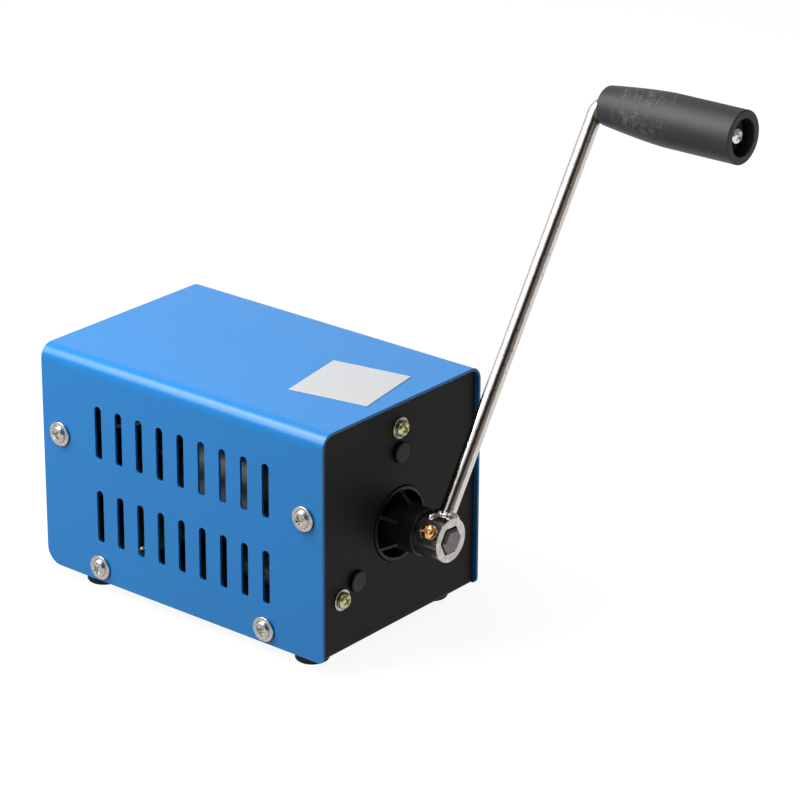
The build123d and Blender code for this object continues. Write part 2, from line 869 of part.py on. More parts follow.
with BuildPart() as shaft_clip:
    with BuildSketch(facing_crank(clip_back)):
        Circle(clip_radius)
        Circle(journal_radius - clip_groove_depth, mode=Mode.SUBTRACT)
        with Locations((clip_radius, 0)):
            Rectangle(clip_radius, journal_radius, mode=Mode.SUBTRACT)
    extrude(amount=clip_thickness)
shaft_clip.part.label = "shaft_clip"
export_step(shaft_clip.part, "parts/shaft_clip.step")

with BuildPart() as first_carrier:
    with BuildSketch(facing_crank(first_disc_back)):
        Circle(carrier_radius)
        RegularPolygon(
            shaft_across_flats / 2,
            6,
            major_radius=False,
            rotation=crank_angle,
            mode=Mode.SUBTRACT,
        )
    extrude(amount=carrier_thickness)
    with BuildSketch(facing_crank(first_disc_back)):
        with PolarLocations(planet_orbit, **small_lugs):
            Circle(planet_pin_radius)
    extrude(amount=-(end_gap + face_width))
first_carrier.part.label = "first_carrier"
export_step(first_carrier.part, "parts/first_carrier.step")

with BuildPart() as second_carrier:
    with BuildSketch(facing_crank(second_disc_back)):
        Circle(carrier_radius)
    extrude(amount=carrier_thickness)
    with BuildSketch(facing_crank(second_disc_back)):
        with PolarLocations(planet_orbit, **small_lugs):
            Circle(planet_pin_radius)
    extrude(amount=-(end_gap + face_width))
    # The first stage's sun gear stands on the front of this disc
    with BuildSketch(facing_crank(second_disc_front)):
        add(spur_outline(sun_teeth, first_planet_angle))
    extrude(amount=end_gap + face_width)
second_carrier.part.label = "second_carrier"
export_step(second_carrier.part, "parts/second_carrier.step")

for stage, planet_back in (("first", first_planet_back), ("second", second_planet_back)):
    for number, angle in enumerate(lug_angles, start=1):
        # A gap between two teeth faces the sun gear's tooth
        gap_to_sun = degrees(angle) + 180 + 180 / planet_teeth
        planet_x = planet_orbit * cos(angle)
        planet_z = axis_height + planet_orbit * sin(angle)
        with BuildPart() as planet:
            with BuildSketch(facing_crank(planet_back, planet_x, planet_z)):
                add(spur_outline(planet_teeth, gap_to_sun))
                Circle(planet_pin_radius + running_gap, mode=Mode.SUBTRACT)
            extrude(amount=face_width)
        planet.part.label = f"{stage}_planet_{number}"
        export_step(planet.part, f"parts/{stage}_planet_{number}.step")

with BuildPart() as motor_pinion:
    with BuildSketch(facing_crank(second_planet_back)):
        add(spur_outline(sun_teeth, first_planet_angle))
        Circle(motor_shaft_radius, mode=Mode.SUBTRACT)
    extrude(amount=face_width)
motor_pinion.part.label = "motor_pinion"
export_step(motor_pinion.part, "parts/motor_pinion.step")

# ---------------------------------------------------------------------------------------------
# Generator machine
# ---------------------------------------------------------------------------------------------

can_inner = motor_radius - motor_wall
magnet_inner = can_inner - magnet_thickness
core_radius = magnet_inner - air_gap
core_front = motor_front + core_from_face
core_back = core_front + core_length
commutator_front = core_back + winding_overhang
commutator_back = commutator_front + commutator_length
brush_station = (commutator_front + commutator_back) / 2
brush_inner = commutator_radius + running_gap
arm_inner = brush_inner + brush_length
arm_middle = arm_inner + brush_arm_thickness / 2
cap_inner_face = motor_back - end_cap_plug
cap_outer_face = motor_back + end_cap_flange
rear_bush_back = cap_outer_face + end_cap_boss_stand
terminal_back = cap_outer_face + terminal_stand
magnet_front = (core_front + core_back) / 2 - magnet_length / 2

with BuildPart() as motor_can:
    with BuildSketch(facing_crank(motor_back)):
        Circle(motor_radius)
    extrude(amount=motor_length)
    fillet(motor_can.edges().group_by(Axis.Y)[0], motor_wall)
    with BuildSketch(facing_crank(motor_back)):
        Circle(can_inner)
    extrude(amount=motor_length - motor_wall, mode=Mode.SUBTRACT)
    with BuildSketch(facing_crank(motor_front)):
        Circle(motor_boss_radius)
    extrude(amount=motor_boss_stand)
    with BuildSketch(facing_crank(motor_front + motor_wall)):
        Circle(motor_bush_radius + seat_gap)
    extrude(amount=motor_wall + motor_boss_stand, mode=Mode.SUBTRACT)
    with BuildSketch(facing_crank(motor_front + motor_wall)):
        with PolarLocations(motor_screw_circle, 2):
            Circle(tapped_hole)
    extrude(amount=motor_wall, mode=Mode.SUBTRACT)
motor_can.part.label = "motor_can"
export_step(motor_can.part, "parts/motor_can.step")

motor_screw = pan_screw(
    small_screw_head_radius,
    small_screw_head_height,
    small_screw_radius,
    gearbox_cap_thickness - motor_screw_counterbore + motor_wall,
)
with BuildPart() as motor_screws:
    with Locations(*[
        facing_crank(cap_front + motor_screw_counterbore, side * motor_screw_circle)
        for side in (-1, 1)
    ]):
        add(motor_screw)
motor_screws.part.label = "motor_screws"
export_step(motor_screws.part, "parts/motor_screws.step")

with BuildPart() as motor_magnets:
    with BuildSketch(facing_crank(magnet_front + magnet_length)):
        for side in (0, 180):
            with BuildLine():
                inner_arc = CenterArc((0, 0), magnet_inner, side - magnet_span / 2, magnet_span)
                outer_arc = CenterArc(
                    (0, 0), can_inner - seat_gap, side - magnet_span / 2, magnet_span
                )
                Line(inner_arc @ 0, outer_arc @ 0)
                Line(inner_arc @ 1, outer_arc @ 1)
            make_face()
    extrude(amount=magnet_length)
motor_magnets.part.label = "motor_magnets"
export_step(motor_magnets.part, "parts/motor_magnets.step")

with BuildPart() as motor_bushes:
    for bush_back in (motor_front - motor_boss_stand + motor_bush_length, rear_bush_back - 1.0):
        with BuildSketch(facing_crank(bush_back)):
            Circle(motor_bush_radius)
            Circle(motor_shaft_radius + running_gap, mode=Mode.SUBTRACT)
        extrude(amount=motor_bush_length)
motor_bushes.part.label = "motor_bushes"
export_step(motor_bushes.part, "parts/motor_bushes.step")

with BuildPart() as motor_end_cap:
    with BuildSketch(facing_crank(motor_back)):
        Circle(can_inner - seat_gap)
    extrude(amount=end_cap_plug)
    with BuildSketch(facing_crank(cap_outer_face)):
        Circle(motor_radius)
    extrude(amount=end_cap_flange)
    fillet(motor_end_cap.edges().group_by(Axis.Y)[-1], 0.8)
    with BuildSketch(facing_crank(rear_bush_back)):
        Circle(end_cap_boss_radius)
    extrude(amount=end_cap_boss_stand)
    with BuildSketch(facing_crank(rear_bush_back - 1.0)):
        Circle(motor_bush_radius + seat_gap)
    extrude(amount=rear_bush_back - cap_inner_face, mode=Mode.SUBTRACT)
    with BuildSketch(facing_crank(cap_outer_face)):
        with PolarLocations(arm_middle, 2):
            Rectangle(brush_arm_thickness + hole_slack, brush_arm_width + hole_slack)
    extrude(amount=cap_outer_face - cap_inner_face, mode=Mode.SUBTRACT)
motor_end_cap.part.label = "motor_end_cap"
export_step(motor_end_cap.part, "parts/motor_end_cap.step")

with BuildPart() as carbon_brushes:
    with BuildSketch(facing_crank(brush_station + brush_depth / 2)):
        with PolarLocations(brush_inner + brush_length / 2, 2):
            Rectangle(brush_length, brush_width)
        Circle(brush_inner, mode=Mode.SUBTRACT)
    extrude(amount=brush_depth)
carbon_brushes.part.label = "carbon_brushes"
export_step(carbon_brushes.part, "parts/carbon_brushes.step")

with BuildPart() as brush_arms:
    with BuildSketch(facing_crank(terminal_back)):
        with PolarLocations(arm_middle, 2):
            Rectangle(brush_arm_thickness, brush_arm_width)
    extrude(amount=terminal_back - (brush_station - brush_depth / 2))
brush_arms.part.label = "brush_arms"
export_step(brush_arms.part, "parts/brush_arms.step")

with BuildPart() as rotor_shaft:
    with BuildSketch(facing_crank(rear_bush_back - 1.0)):
        Circle(motor_shaft_radius)
    extrude(amount=rear_bush_back - 1.0 - second_planet_front)
    chamfer(rotor_shaft.edges(), 0.2)
rotor_shaft.part.label = "rotor_shaft"
export_step(rotor_shaft.part, "parts/rotor_shaft.step")

with BuildPart() as rotor_core:
    with BuildSketch(facing_crank(core_back)):
        Circle(core_radius)
        Circle(motor_shaft_radius, mode=Mode.SUBTRACT)
    extrude(amount=core_length)
rotor_core.part.label = "rotor_core"
export_step(rotor_core.part, "parts/rotor_core.step")

with BuildPart() as rotor_windings:
    crown_radius = winding_crown * core_radius
    for seat, crown in (
        (core_front, core_front - winding_overhang),
        (core_back, core_back + winding_overhang - end_gap),
    ):
        with BuildSketch(Plane.XY.offset(axis_height)):
            with BuildLine():
                Polyline(
                    (commutator_radius, crown),
                    (motor_shaft_radius, crown),
                    (motor_shaft_radius, seat),
                    (crown_radius, seat),
                )
                ThreePointArc(
                    (crown_radius, seat),
                    (0.85 * crown_radius, 0.3 * seat + 0.7 * crown),
                    (commutator_radius, crown),
                )
            make_face()
        revolve(axis=crank_axis)
rotor_windings.part.label = "rotor_windings"
export_step(rotor_windings.part, "parts/rotor_windings.step")

with BuildPart() as commutator:
    with BuildSketch(facing_crank(commutator_back)):
        Circle(commutator_radius)
        Circle(motor_shaft_radius, mode=Mode.SUBTRACT)
    extrude(amount=commutator_length)
commutator.part.label = "commutator"
export_step(commutator.part, "parts/commutator.step")

# ---------------------------------------------------------------------------------------------
# Crank and grip
# ---------------------------------------------------------------------------------------------

clamp_angles = (crank_angle + 90, crank_angle - 90)
clamp_seat = sleeve_radius - sleeve_flat_depth
clamp_planes = [
    Plane(
        origin=(
            clamp_seat * cos(radians(angle)),
            clamp_station,
            axis_height + clamp_seat * sin(radians(angle)),
        ),
        x_dir=(0, 1, 0),
        z_dir=(cos(radians(angle)), 0, sin(radians(angle))),
    )
    for angle in clamp_angles
]

with BuildPart() as crank_sleeve:
    with BuildSketch(facing_crank(sleeve_back)):
        Circle(sleeve_radius)
        RegularPolygon(
            sleeve_across_flats / 2,
            6,
            major_radius=False,
            rotation=crank_angle,
            mode=Mode.SUBTRACT,
        )
    extrude(amount=sleeve_length)
    for clamp_plane in clamp_planes:
        with BuildSketch(clamp_plane):
            Circle(clamp_screw_head_radius + hole_slack)
        extrude(amount=sleeve_radius, mode=Mode.SUBTRACT)
        with BuildSketch(clamp_plane):
            Circle(tapped_hole)
        extrude(amount=-sleeve_radius / 2, mode=Mode.SUBTRACT)
crank_sleeve.part.label = "crank_sleeve"
export_step(crank_sleeve.part, "parts/crank_sleeve.step")

clamp_screw = pan_screw(
    clamp_screw_head_radius,
    small_screw_head_height,
    small_screw_radius,
    clamp_seat - shaft_across_flats / 2 - seat_gap,
)
with BuildPart() as clamp_screws:
    with Locations(*clamp_planes):
        add(clamp_screw)
clamp_screws.part.label = "clamp_screws"
export_step(clamp_screws.part, "parts/clamp_screws.step")

rod_root = sleeve_radius - weld_height          # the rod starts inside the sleeve's outline
weld_taper = degrees(atan((weld_reach - rod_radius) / weld_height))
weld_root_radius = weld_reach + (sleeve_radius - rod_root) * tan(radians(weld_taper))
rod_start = Vector(0, rod_station, axis_height) + crank_direction * rod_root
rod_corner = Vector(grip_x, rod_station, grip_z)
spindle_end = Vector(grip_x, spindle_front, grip_z)

with BuildPart() as crank_arm:
    with BuildLine():
        FilletPolyline(rod_start, rod_corner, spindle_end, radius=rod_bend)
    with BuildSketch(Plane(origin=rod_start, z_dir=crank_direction)):
        Circle(rod_radius)
    sweep()
    # Weld bead round the rod's foot
    with BuildSketch(Plane(origin=rod_start, z_dir=crank_direction)):
        Circle(weld_root_radius)
    extrude(amount=sleeve_radius - rod_root + weld_height, taper=weld_taper)
    with BuildSketch(facing_crank(rod_station)):
        Circle(sleeve_radius)
    extrude(amount=sleeve_length, both=True, mode=Mode.SUBTRACT)
    with BuildSketch(facing_crank(spindle_front, grip_x, grip_z)):
        Circle(grip_screw_radius + screw_slack)
    extrude(amount=-(grip_screw_length + end_gap), mode=Mode.SUBTRACT)
crank_arm.part.label = "crank_arm"
export_step(crank_arm.part, "parts/crank_arm.step")

with BuildPart() as grip:
    with BuildSketch(Plane(origin=(grip_x, 0, grip_z))):
        with BuildLine():
            bore_radius = rod_radius + grip_bore_gap
            swell_end = grip_back - grip_swell
            swell_middle = grip_back - grip_swell / 2
            swell_radius = grip_neck_radius + grip_swell_share * (grip_radius - grip_neck_radius)
            Polyline(
                (grip_neck_radius, grip_back),
                (bore_radius + grip_mouth_bevel, grip_back),
                (bore_radius, grip_back - grip_mouth_bevel),
                (bore_radius, cavity_floor),
                (grip_cavity_radius, cavity_floor),
                (grip_cavity_radius, grip_front),
                (grip_radius, grip_front),
                (grip_radius, swell_end),
            )
            ThreePointArc(
                (grip_radius, swell_end),
                (swell_radius, swell_middle),
                (grip_neck_radius, grip_back),
            )
        make_face()
    revolve(axis=grip_axis)
    end_rims = grip.edges().filter_by(GeomType.CIRCLE)
    fillet(end_rims.group_by(Axis.Y)[0].sort_by(SortBy.RADIUS)[-1], grip_edge)
    end_rims = grip.edges().filter_by(GeomType.CIRCLE)
    fillet(end_rims.group_by(Axis.Y)[-1].sort_by(SortBy.RADIUS)[-1], grip_edge)
grip.part.label = "grip"
export_step(grip.part, "parts/grip.step")

with BuildPart() as grip_washer:
    with BuildSketch(facing_crank(spindle_front, grip_x, grip_z)):
        Circle(grip_washer_radius)
        Circle(grip_screw_radius + screw_slack, mode=Mode.SUBTRACT)
    extrude(amount=grip_washer_thickness)
grip_washer.part.label = "grip_washer"
export_step(grip_washer.part, "parts/grip_washer.step")

grip_pan_screw = pan_screw(
    grip_screw_head_radius, grip_screw_head_height, grip_screw_radius, grip_screw_length
)
with BuildPart() as grip_screw:
    with Locations(facing_crank(spindle_front - grip_washer_thickness, grip_x, grip_z)):
        add(grip_pan_screw)
grip_screw.part.label = "grip_screw"
export_step(grip_screw.part, "parts/grip_screw.step")

# ---------------------------------------------------------------------------------------------
# Output board
# ---------------------------------------------------------------------------------------------

with BuildPart() as circuit_board:
    with BuildSketch(Plane.XY.offset(board_top - board_thickness)):
        with Locations((0, board_middle)):
            Rectangle(board_width, board_depth)
        with Locations(*standoff_places):
            Circle(small_hole, mode=Mode.SUBTRACT)
    extrude(amount=board_thickness)
circuit_board.part.label = "circuit_board"
export_step(circuit_board.part, "parts/circuit_board.step")

with BuildPart() as board_standoffs:
    # Swaged into the base, so each has a round foot in its hole
    with BuildSketch(Plane.XY.offset(case_bottom)):
        with Locations(*standoff_places):
            Circle(small_hole - seat_gap)
    extrude(amount=chassis_sheet)
    with BuildSketch(Plane.XY.offset(base_top)):
        with Locations(*standoff_places):
            RegularPolygon(standoff_across_flats / 2, 6, major_radius=False)
            Circle(tapped_hole, mode=Mode.SUBTRACT)
    extrude(amount=standoff_height)
board_standoffs.part.label = "board_standoffs"
export_step(board_standoffs.part, "parts/board_standoffs.step")

board_screw = pan_screw(
    small_screw_head_radius,
    small_screw_head_height,
    small_screw_radius,
    board_thickness + 0.8 * standoff_height,
)
with BuildPart() as board_screws:
    with Locations(*[(x, y, board_top) for x, y in standoff_places]):
        add(board_screw)
board_screws.part.label = "board_screws"
export_step(board_screws.part, "parts/board_screws.step")

capacitor_place = (-0.31 * board_width, board_middle + 5.0, board_top)
inductor_place = (0, board_front + 8.0, board_top)
regulator_place = (0.28 * board_width, board_middle - 3.0, board_top)

with BuildPart() as capacitor:
    with BuildSketch(Plane.XY.offset(board_top)):
        with Locations(capacitor_place[:2]):
            Circle(capacitor_radius)
    extrude(amount=capacitor_height)
    fillet(capacitor.edges().group_by(Axis.Z)[-1], 0.7)
capacitor.part.label = "capacitor"
export_step(capacitor.part, "parts/capacitor.step")

with BuildPart() as inductor:
    with BuildSketch(Plane.XY.offset(board_top)):
        with Locations(inductor_place[:2]):
            RectangleRounded(inductor_side, inductor_side, 1.5)
    extrude(amount=inductor_height)
    chamfer(inductor.edges().group_by(Axis.Z)[-1], 0.5)
inductor.part.label = "inductor"
export_step(inductor.part, "parts/inductor.step")

with BuildPart() as regulator:
    with Locations(regulator_place):
        with Locations((0, 0, regulator_stand)):
            Box(
                regulator_width,
                regulator_thickness,
                regulator_body_height,
                align=(Align.CENTER, Align.CENTER, Align.MIN),
            )
            with Locations((0, (regulator_tab_thickness - regulator_thickness) / 2, 0)):
                Box(
                    regulator_width,
                    regulator_tab_thickness,
                    regulator_body_height + regulator_tab_height,
                    align=(Align.CENTER, Align.CENTER, Align.MIN),
                )
        with GridLocations(regulator_width / 4, 0, 3, 1):
            Box(1.0, 0.6, regulator_stand, align=(Align.CENTER, Align.CENTER, Align.MIN))
regulator.part.label = "regulator"
export_step(regulator.part, "parts/regulator.step")

usb_back = rear_wall_outer + usb_stand
usb_middle = board_top + usb_height / 2
usb_cavity_width = usb_width - 2 * usb_shell_wall
usb_cavity_height = usb_height - 2 * usb_shell_wall
usb_cavity_front = usb_back - usb_depth + usb_shell_wall

with BuildPart() as usb_shell:
    with BuildSketch(facing_crank(usb_back, z=usb_middle)):
        RectangleRounded(usb_width, usb_height, 0.6)
    extrude(amount=usb_depth)
    with BuildSketch(facing_crank(usb_back, z=usb_middle)):
        Rectangle(usb_cavity_width, usb_cavity_height)
    extrude(amount=usb_depth - usb_shell_wall, mode=Mode.SUBTRACT)
usb_shell.part.label = "usb_shell"
export_step(usb_shell.part, "parts/usb_shell.step")

with BuildPart() as usb_tongue:
    with BuildSketch(facing_crank(usb_cavity_front + usb_block_depth, z=usb_middle)):
        Rectangle(usb_cavity_width, usb_cavity_height)
    extrude(amount=usb_block_depth)
    tongue_middle = usb_middle + usb_cavity_height / 2 - usb_tongue_drop - usb_tongue_thickness / 2
    with BuildSketch(facing_crank(usb_back - 1.0, z=tongue_middle)):
        Rectangle(usb_tongue_width, usb_tongue_thickness)
    extrude(amount=usb_back - 1.0 - usb_cavity_front - usb_block_depth)
usb_tongue.part.label = "usb_tongue"
export_step(usb_tongue.part, "parts/usb_tongue.step")

with BuildPart() as power_light:
    with Locations((-lamp_from_middle, rear_wall_inner - lamp_base, board_top)):
        Box(lamp_base, lamp_base / 2, lamp_base, align=(Align.CENTER, Align.CENTER, Align.MIN))
    lamp_tip = rear_wall_outer + lamp_stand
    with BuildSketch(facing_crank(lamp_tip, -lamp_from_middle, lamp_height)):
        Circle(lamp_radius)
    extrude(amount=lamp_tip - (rear_wall_inner - lamp_base))
    fillet(power_light.edges().group_by(Axis.Y)[-1], 0.8 * lamp_radius)
power_light.part.label = "power_light"
export_step(power_light.part, "parts/power_light.step")

# ---------------------------------------------------------------------------------------------
# Output sockets
# ---------------------------------------------------------------------------------------------


def output_socket(x):
    """The insulating bush of one socket: a flange outside the rear wall and a threaded barrel."""
    with BuildPart() as bush:
        with BuildSketch(facing_crank(rear_wall_outer, x, socket_height)):
            Circle(socket_barrel_radius)
        extrude(amount=socket_barrel_length)
        with BuildSketch(facing_crank(socket_mouth, x, socket_height)):
            Circle(socket_flange_radius)
        extrude(amount=socket_flange_thickness)
        fillet(bush.edges().group_by(Axis.Y)[-1], 0.6)
        with BuildSketch(facing_crank(socket_mouth, x, socket_height)):
            Circle(socket_bore_radius)
        extrude(amount=socket_mouth_step, mode=Mode.SUBTRACT)
        with BuildSketch(facing_crank(tube_back, x, socket_height)):
            Circle(socket_tube_radius + seat_gap)
        extrude(amount=socket_barrel_length + socket_flange_thickness, mode=Mode.SUBTRACT)
    return bush.part


with BuildPart() as red_socket:
    add(output_socket(-socket_spacing / 2))
red_socket.part.label = "red_socket"
export_step(red_socket.part, "parts/red_socket.step")

with BuildPart() as black_socket:
    add(output_socket(socket_spacing / 2))
black_socket.part.label = "black_socket"
export_step(black_socket.part, "parts/black_socket.step")

with BuildPart() as socket_contacts:
    with BuildSketch(facing_crank(tube_back, z=socket_height)):
        with GridLocations(socket_spacing, 0, 2, 1):
            Circle(socket_tube_radius)
    extrude(amount=tube_back - tube_front)
    with BuildSketch(facing_crank(tube_back, z=socket_height)):
        with GridLocations(socket_spacing, 0, 2, 1):
            Circle(socket_bore_radius)
    extrude(amount=socket_bore_depth, mode=Mode.SUBTRACT)
    with BuildSketch(facing_crank(tube_front, z=socket_height)):
        with GridLocations(socket_spacing, 0, 2, 1):
            Circle(socket_tail_radius)
    extrude(amount=socket_tail_length)
socket_contacts.part.label = "socket_contacts"
export_step(socket_contacts.part, "parts/socket_contacts.step")

socket_nut = hexagon_nut(
    socket_nut_across_flats, socket_nut_height, socket_barrel_radius + screw_slack
)
with BuildPart() as socket_nuts:
    with Locations(*[
        facing_crank(rear_wall_inner, side * socket_spacing / 2, socket_height)
        for side in (-1, 1)
    ]):
        add(socket_nut)
socket_nuts.part.label = "socket_nuts"
export_step(socket_nuts.part, "parts/socket_nuts.step")

# ---------------------------------------------------------------------------------------------
# Internal wires: from the machine's terminals to the board, and from the board to the sockets
# ---------------------------------------------------------------------------------------------

for side, colour in ((-1, "red"), (1, "black")):
    terminal_x = side * arm_middle
    motor_route = [
        (terminal_x, terminal_back, axis_height),
        (terminal_x, terminal_back + 6.0, axis_height),
        (terminal_x + side * 0.4, terminal_back + 14.0, axis_height + 5.0),
        (terminal_x + side * 0.7, terminal_back + 22.0, axis_height - 3.0),
        (terminal_x + side * 1.0, terminal_back + 19.5, board_top + 6.5),
        (terminal_x + side * 1.0, terminal_back + 19.5, board_top),
    ]
    tail_x = side * socket_spacing / 2
    output_route = [
        (tail_x, tail_front, socket_height),
        (tail_x, tail_front - 7.4, socket_height),
        (tail_x - side * 2.5, tail_front - 11.0, socket_height - 8.5),
        (tail_x + side * 0.5, tail_front + 2.0, board_top + 7.0),
        (tail_x + side * 0.5, tail_front + 2.0, board_top),
    ]
    with BuildPart() as wires:
        add(internal_wire(f"{colour} wire from the machine", motor_route))
        add(internal_wire(f"{colour} wire to the socket", output_route))
    wires.part.label = f"{colour}_wires"
    export_step(wires.part, f"parts/{colour}_wires.step")
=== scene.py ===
import json
import random
from math import acos, cos, pi, radians, sin, tan

import bmesh
import bpy
from bpy.props import FloatProperty, FloatVectorProperty, IntProperty, PointerProperty
from bpy.types import Operator, Panel, PropertyGroup
from mathutils import Matrix, Vector

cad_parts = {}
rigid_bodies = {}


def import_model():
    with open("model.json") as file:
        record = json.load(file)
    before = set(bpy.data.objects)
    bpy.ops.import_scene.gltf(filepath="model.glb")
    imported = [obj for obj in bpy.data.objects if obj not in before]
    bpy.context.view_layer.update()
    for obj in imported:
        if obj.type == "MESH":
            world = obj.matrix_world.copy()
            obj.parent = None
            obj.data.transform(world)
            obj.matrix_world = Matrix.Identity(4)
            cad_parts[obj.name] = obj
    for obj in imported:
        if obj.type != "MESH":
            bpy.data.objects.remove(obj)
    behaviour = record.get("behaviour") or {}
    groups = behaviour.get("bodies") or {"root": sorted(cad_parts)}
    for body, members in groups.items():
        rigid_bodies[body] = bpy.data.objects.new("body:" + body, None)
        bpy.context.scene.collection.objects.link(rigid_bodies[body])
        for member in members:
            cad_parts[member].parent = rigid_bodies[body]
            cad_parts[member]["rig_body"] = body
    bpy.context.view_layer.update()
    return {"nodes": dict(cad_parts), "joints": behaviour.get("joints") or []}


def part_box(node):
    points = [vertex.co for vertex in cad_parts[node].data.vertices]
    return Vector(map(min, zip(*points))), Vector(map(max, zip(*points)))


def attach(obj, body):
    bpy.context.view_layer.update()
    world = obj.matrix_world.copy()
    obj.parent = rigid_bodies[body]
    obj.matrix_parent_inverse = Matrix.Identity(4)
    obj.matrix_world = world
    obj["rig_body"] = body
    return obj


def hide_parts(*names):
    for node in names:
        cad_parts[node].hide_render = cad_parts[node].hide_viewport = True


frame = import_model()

bl_info = {
    "name": "Hand crank generator",
    "version": (1, 0, 0),
    "blender": (4, 5, 0),
    "location": "3D View > Sidebar > Generator",
    "description": "Dresses a hand crank generator: case, gearbox nose, crank, grip and insides",
    "category": "Add Mesh",
}

# Places that come from the frame, in metres
JOINTS = {joint["name"]: joint for joint in frame["joints"]}
SHAFT = Vector(JOINTS["crank_spin"]["pos_m"])
SPINDLE = Vector(JOINTS["grip_spin"]["pos_m"])
ARM = (SPINDLE - SHAFT).normalized()
CASE_LOW, CASE_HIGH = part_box("cover")
SLEEVE_LOW, SLEEVE_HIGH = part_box("crank_sleeve")

MM = 0.001
LABEL_TURN = radians(10.5)      # the label lies a little askew
MERGE = 1e-7                    # corners that are nearer than this are one
CAD_MERGE = 2e-6                # and in the CAD nodes' meshes
FLAT = radians(0.4)             # faces that turn less than this lie in one plane
FORWARD = Vector((0, -1, 0))    # from the case towards whoever turns the crank
UP = Vector((0, 0, 1))
DOWN = Vector((0, 0, -1))

# The photograph's camera, solved from the case's edges, its slots and its screws
CAMERA_LENS = 153.12
CAMERA_SENSOR = 36.0
CAMERA_PLACE = (-0.788693, -0.704134, 0.502409)
CAMERA_RIGHT = (0.63384252, -0.77344364, 0.00534815)
CAMERA_UP = (0.29054235, 0.2444983, 0.92509768)
CAMERA_BACK = (-0.71681853, -0.58481238, 0.37969155)


def length(name, description, millimetres):
    """A length that a user may change."""
    return FloatProperty(
        name=name, description=description, default=millimetres * MM,
        min=0.0, subtype="DISTANCE", unit="LENGTH",
    )


def colour(name, description, value):
    """A colour that a user may change."""
    return FloatVectorProperty(
        name=name, description=description, default=value,
        size=3, min=0.0, max=1.0, subtype="COLOR",
    )


def power(name, description, watts):
    """A lamp's power that a user may change."""
    return FloatProperty(
        name=name, description=description, default=watts, subtype="POWER", unit="POWER"
    )


class CaseSettings(PropertyGroup):
    paint: colour("Paint", "Colour of the folded cover", (0.004, 0.19, 0.53))
    plate: colour("Plate", "Colour of the painted chassis", (0.0155, 0.0152, 0.0145))
    foil: colour("Foil", "Colour of the bare label", (0.545, 0.555, 0.57))
    sheet: length("Sheet", "Thickness of the cover", 1.0)
    bend: length("Bend", "Outer radius of the cover's two bends", 5.0)
    front_corner: length("Front corner", "Radius of the side flaps' front corners", 2.0)
    rear_corner: length("Rear corner", "Radius of the side flaps' rear corners", 6.0)
    slot_width: length("Slot width", "Width of a ventilation slot", 3.0)
    slot_length: length("Slot length", "Length of a ventilation slot", 19.2)
    slot_pitch: length("Slot pitch", "Distance between neighbouring slots", 9.3)
    slot_shift: FloatProperty(
        name="Slot shift", description="Middle of the slot rows along the case",
        default=-0.8 * MM, subtype="DISTANCE", unit="LENGTH",
    )
    lower_row: length("Lower row", "Height of the lower slots above the cover's foot", 23.95)
    upper_row: length("Upper row", "Height of the upper slots above the cover's foot", 54.6)
    slots: IntProperty(name="Slots", description="Slots in a row", default=9, min=1)
    screw_hole: length("Screw hole", "Radius of the holes for the side screws", 1.8)


class CrankSettings(PropertyGroup):
    rod_radius: length("Rod radius", "Radius of the crank's rod", 2.75)
    rod_bend: length("Rod bend", "Bend radius where the rod turns into the grip", 3.5)
    rod_back: length("Rod station", "Rod's middle behind the sleeve's front face", 5.0)
    bead_size: length("Bead size", "Radius of a drop of the weld", 1.25)
    bead_seed: IntProperty(name="Bead seed", description="Seed of the weld's drops", default=7)
    grip_colour: colour("Grip", "Colour of the moulded grip", (0.0095, 0.0091, 0.0087))
    grip_radius: length("Grip radius", "Largest radius of the grip", 9.05)
    neck_radius: length("Neck radius", "Radius of the grip at the rod", 6.6)
    swell: length("Swell", "Length over which the neck widens", 26.0)
    cavity_radius: length("Cavity radius", "Radius of the hollow at the grip's end", 6.3)
    cavity_depth: length("Cavity depth", "Depth of the hollow at the grip's end", 5.0)


class FastenerSettings(PropertyGroup):
    flange_radius: length("Flange radius", "Radius of a side screw's flange", 4.35)
    side_head_radius: length("Side head radius", "Radius of a side screw's dome", 3.05)
    side_head_height: length("Side head height", "Height of a side screw's head", 2.3)
    small_head_radius: length("Small head radius", "Radius of the other screws' heads", 2.8)
    small_head_height: length("Small head height", "Height of the other screws' heads", 2.0)
    shank_radius: length("Shank radius", "Radius of the screws' shanks", 1.5)


class StageSettings(PropertyGroup):
    floor: colour("Floor", "Colour of the floor", (0.13, 0.13, 0.132))
    sky: FloatProperty(name="Sky", description="Strength of the soft surround light", default=0.30)
    top_light: power("Top light", "Power of the overhead lamp", 7.2)
    side_light: power("Side light", "Power of the lamp at the camera's left", 2.7)


# ---------------------------------------------------------------------------------------------
# Node trees
# ---------------------------------------------------------------------------------------------


def arithmetic(operation, reflected=False):
    """An operator that adds its Math node."""

    def method(self, other):
        return self.math(operation, *((other, self) if reflected else (self, other)))

    return method


class Value:
    """A socket that takes part in arithmetic. Each operation adds its Math node."""

    def __init__(self, network, socket):
        self.network = network
        self.socket = socket

    def math(self, operation, *operands):
        values = dict(enumerate(operands))
        return self.network.value("ShaderNodeMath", {"operation": operation}, values)

    __add__ = arithmetic("ADD")
    __radd__ = arithmetic("ADD", True)
    __sub__ = arithmetic("SUBTRACT")
    __rsub__ = arithmetic("SUBTRACT", True)
    __mul__ = arithmetic("MULTIPLY")
    __rmul__ = arithmetic("MULTIPLY", True)

    def sine(self):
        return self.math("SINE", self)

    def between(self, low, high):
        """0 below low, 1 above high and smooth in between. high may be the smaller one."""
        return self.network.value(
            "ShaderNodeMapRange",
            {"interpolation_type": "SMOOTHSTEP"},
            {"Value": self, "From Min": low, "From Max": high},
        )


